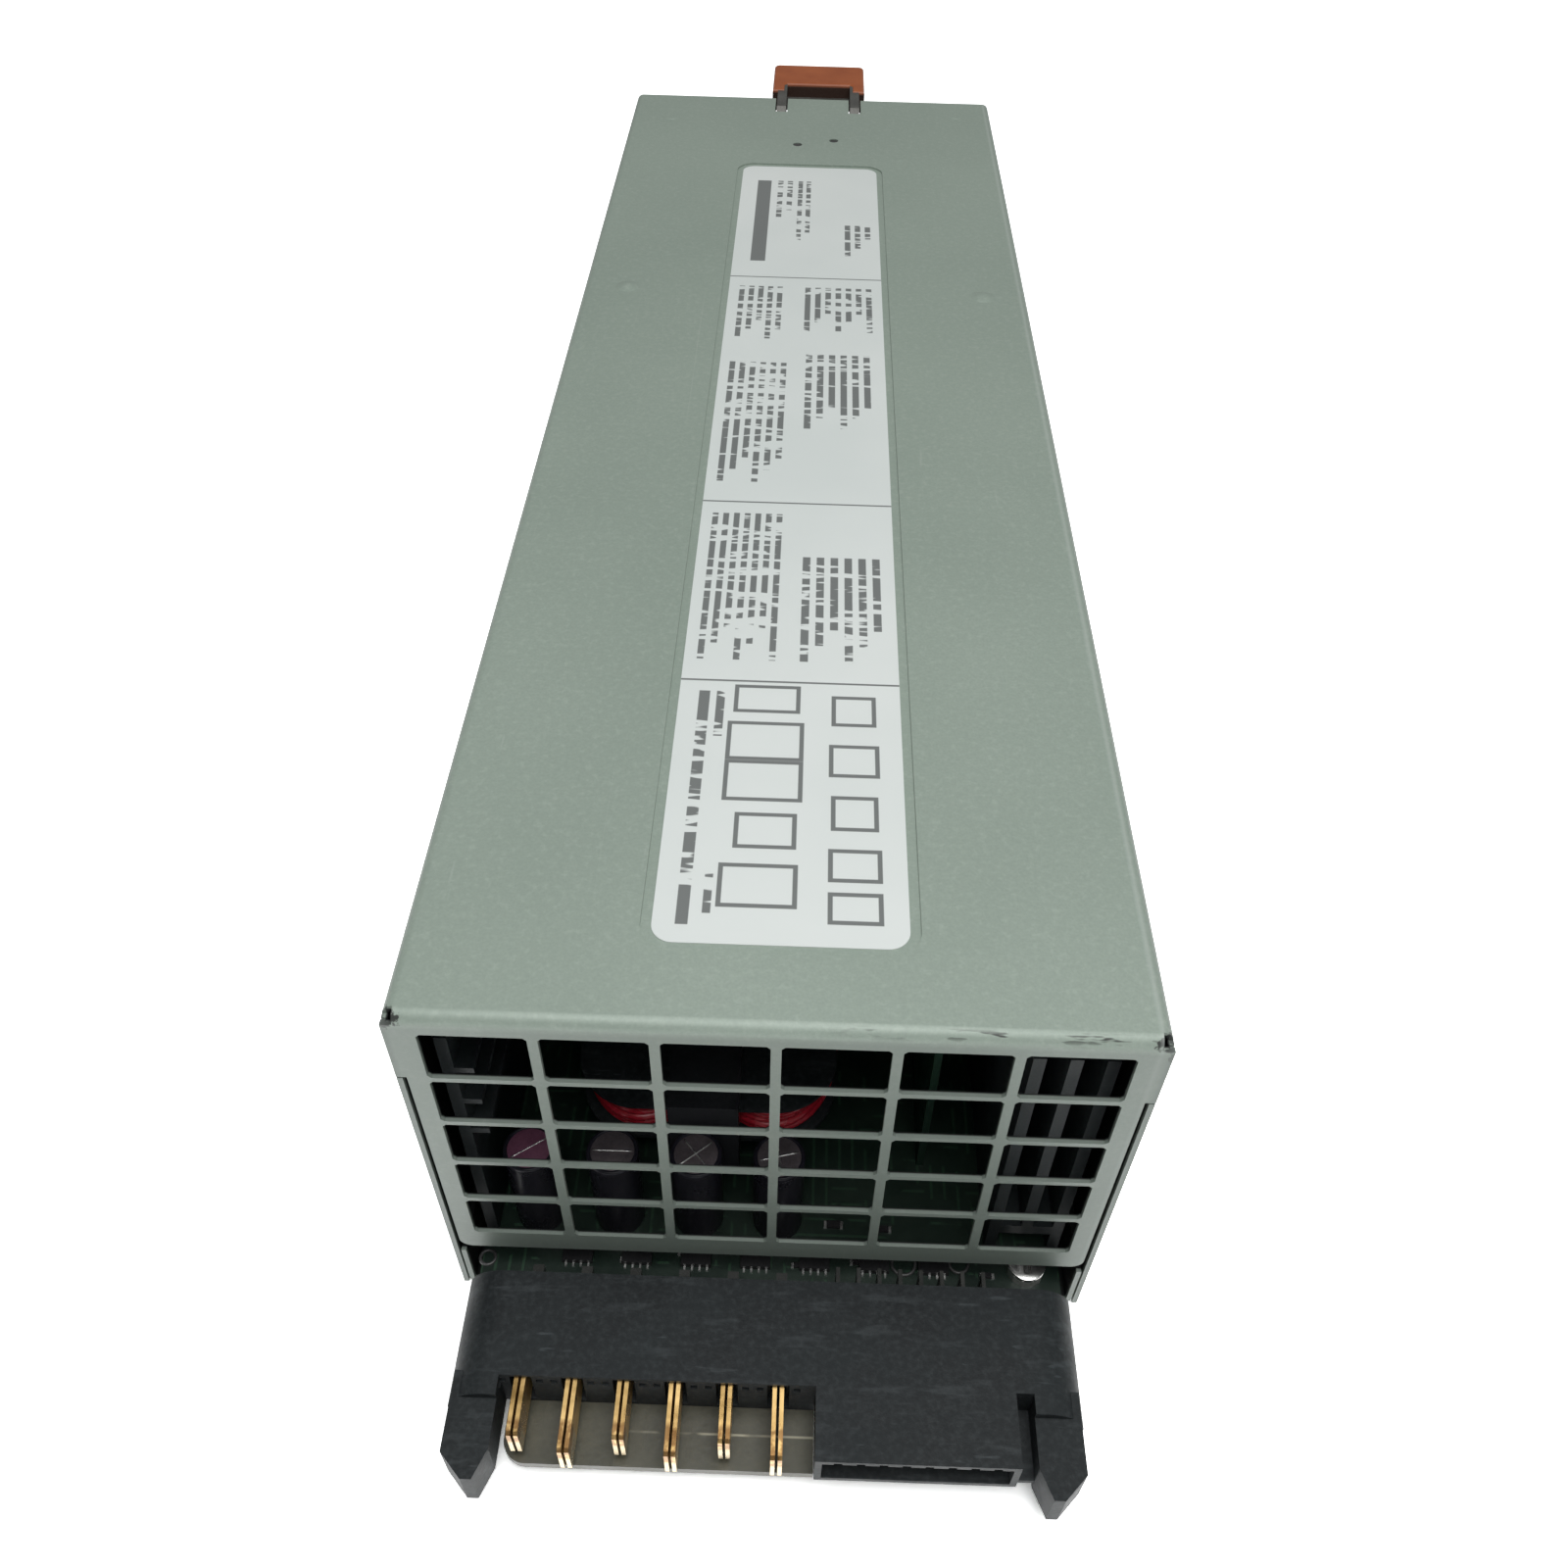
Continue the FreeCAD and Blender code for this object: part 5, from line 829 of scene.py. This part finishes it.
def block(centre, size, round_off=0.15):
    """A small block whose outline shrinks near its top and bottom, so that its edges catch light."""
    half = np.array(size) / 2
    trim = round_off * min(half)
    loops = []
    for level, inset in ((-half[2], trim), (-half[2] + trim, 0), (half[2] - trim, 0), (half[2], trim)):
        wide, deep = half[0] - inset, half[1] - inset
        loops.append([(centre[0] + a * wide, centre[1] + b * deep, centre[2] + level)
                      for a, b in ((-1, -1), (1, -1), (1, 1), (-1, 1))])
    return stack(loops)


leads = 4
for low, high in shells("surface_chips"):
    for place in range(leads):
        across = low.x + (place + 0.5) * (high.x - low.x) / leads
        for edge, sign in ((low.y, -1), (high.y, 1)):
            foot = (across, edge + sign * 0.28 * MM, board_top + 0.14 * MM)
            feet.append(block(foot, (0.34 * MM, 0.6 * MM, 0.26 * MM)))
# places and sizes of the loose chips, in mm
places = [(4.5, -156.6, 1.6, 0.8), (14.7, -155.4, 3.2, 1.4), (-23.0, -156.6, 1.5, 0.8),
          (-14.0, -155.2, 1.2, 0.7), (10.0, -149.4, 2.2, 1.2), (18.0, -149.9, 2.0, 1.0),
          (24.5, -157.0, 1.0, 0.5), (34.6, -157.2, 1.4, 0.8)]
for across, along, wide, deep in places:
    centre = (across * MM, along * MM)
    bodies.append(block((*centre, board_top + 0.3 * MM), (wide * MM, deep * MM, 0.6 * MM)))
    for side in (-1, 1):
        feet.append(block((centre[0] + side * (wide / 2 + 0.22) * MM, centre[1], board_top + 0.18 * MM),
                          (0.46 * MM, deep * MM, 0.34 * MM)))
turn = np.linspace(0, 2 * np.pi, 40, endpoint=False)
ring_places = [(30.2, -155.3, 1.5, 0.3), (21.3, -155.6, 1.9, 0.3), (-45.4, -157.0, 1.2, 0.28)]
for across, along, radius, thick in ring_places:
    path = np.stack([across * MM + radius * MM * np.cos(turn), along * MM + radius * MM * np.sin(turn),
                     np.full(40, board_top + 0.05 * MM)], axis=1)
    rings.append(tube(path, thick * MM, 8, True))
add_piece("solder_feet", feet, solder, smooth=False)
add_piece("small_chips", bodies, chip_epoxy, smooth=False)
add_piece("plated_rings", rings, dark_rivet)
print(len(feet), "solder feet")

# %% [markdown]
# The cover has two pressed domes and a smaller one, and near its rear edge two faint arcs show where
# a stop is pressed in.

# %% Pressed marks in the cover
dimple_rise = 0.35 * MM
cover_top = cover_high.z - dimple_rise
marks_made = []
for across, along in ((-40.0, 40.0), (40.0, 40.0)):
    share = np.linspace(1.0, 0.004, 12)
    profile = [(2.8 * MM * part, 0.66 * MM * (1 - part ** 2) ** 1.3 - 0.02 * MM) for part in share]
    marks_made.append(lathe((across * MM, along * MM, cover_top), profile, 40))
marks_made.append(lathe((23.5 * MM, 116.5 * MM, cover_top),
                        [(1.5 * MM * part, 0.16 * MM * (1 - part ** 2) - 0.01 * MM) for part in share], 32))
for across, along in ((-39.0, 142.5), (40.2, 148.9)):
    turn = np.radians(np.linspace(205, 335, 24))
    path = np.stack([across * MM + 2.4 * MM * np.cos(turn), along * MM + 2.4 * MM * np.sin(turn),
                     cover_top - 0.16 * MM + 0.06 * MM * np.sin(np.linspace(0, np.pi, 24))], axis=1)
    marks_made.append(tube(path, 0.24 * MM, 10))
add_piece("pressed_marks", marks_made, case_paint)
print("cover top at", round(cover_top / MM, 2))

# %% [markdown]
# The fan guard is welded from round wire: three rings lie on two crossed bars, and the long bar
# ends in eyes for the screws. It replaces the flat guard of the frame.

# %% Guard wires
shaft_low, shaft_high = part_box("fan_shaft")
hub_x, hub_z = (shaft_low.x + shaft_high.x) / 2, (shaft_low.z + shaft_high.z) / 2
guard_low, guard_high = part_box("fan_guard")
rod = 0.6 * MM


def ring_path(x, z, radius, y, steps=72):
    """A circle that faces the rear: x + r cos t, z + r sin t."""
    turn = np.linspace(0, 2 * np.pi, steps, endpoint=False)
    return np.stack([x + radius * np.cos(turn), np.full(steps, y), z + radius * np.sin(turn)], axis=1)


wires = [tube(ring_path(hub_x, hub_z, radius * MM, guard_high.y - rod), rod, 10, True, (0, 1, 0))
         for radius in (26.0, 18.5, 11.0)]
low, high = shells("fan_screws")[0]
reach = abs((low.x + high.x) / 2 - hub_x)
bar_y = guard_low.y + rod
for slope, length in ((-1, reach - 1.9 * MM), (1, 20.0 * MM)):
    parts = length * np.linspace(-1, 1, 9)
    path = [(hub_x + part, bar_y, hub_z + slope * part) for part in parts]
    wires.append(tube(path, rod, 10, False, (0, 1, 0)))
for side in (-1, 1):
    eye = ring_path(hub_x + side * reach, hub_z - side * reach, 2.6 * MM, bar_y, 32)
    wires.append(tube(eye, rod, 8, True, (0, 1, 0)))
guard = add_piece("guard_wires", wires, bright_steel)
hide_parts("fan_guard")
print("guard reach", round(reach / MM, 1), "mm")

# %% [markdown]
# The grip is a rounded bar whose two cheeks reach back over the steel arms.

# %% Grip
arm_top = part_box("latch_lever")[1].z
middle_x = (grip_low.x + grip_high.x) / 2
half_grip, opening, bar_front = (grip_high.x - grip_low.x) / 2, 9.6 * MM, grip_low.y + 7.5 * MM


def grip_outline(inset, level):
    """A U: outer edge drawn in by the inset, inner edge let out by it, corners cut at 45 degrees."""
    cut = 1.1 * MM
    wide, back, front = half_grip - inset, grip_high.y - inset, grip_low.y + 2.4 * MM + inset
    inner, bar = opening + inset, bar_front + inset
    half = [(inner, front), (wide, front), (wide, back - cut), (wide - 0.3 * cut, back - 0.3 * cut),
            (wide - cut, back)]
    right = [(inner - 0.8 * MM, bar), (inner, bar - 0.8 * MM)] + half
    left = [(-x, y) for x, y in right[::-1]]
    return [(middle_x + x, y, level) for x, y in right + left]


top = arm_top + 0.35 * MM
levels = [(0.8 * MM, grip_low.z), (0.2 * MM, grip_low.z + 0.3 * MM), (0.0, grip_low.z + 0.9 * MM),
          (0.0, top - 1.0 * MM), (0.12 * MM, top - 0.5 * MM), (0.4 * MM, top - 0.14 * MM), (0.95 * MM, top)]
outlines = [grip_outline(inset, level) for inset, level in levels]
grip = add_piece("latch_grip_bar", [stack(outlines)], latch_plastic, "latch", smooth=False)
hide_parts("latch_grip")
print("grip top at", round(top / MM, 2))
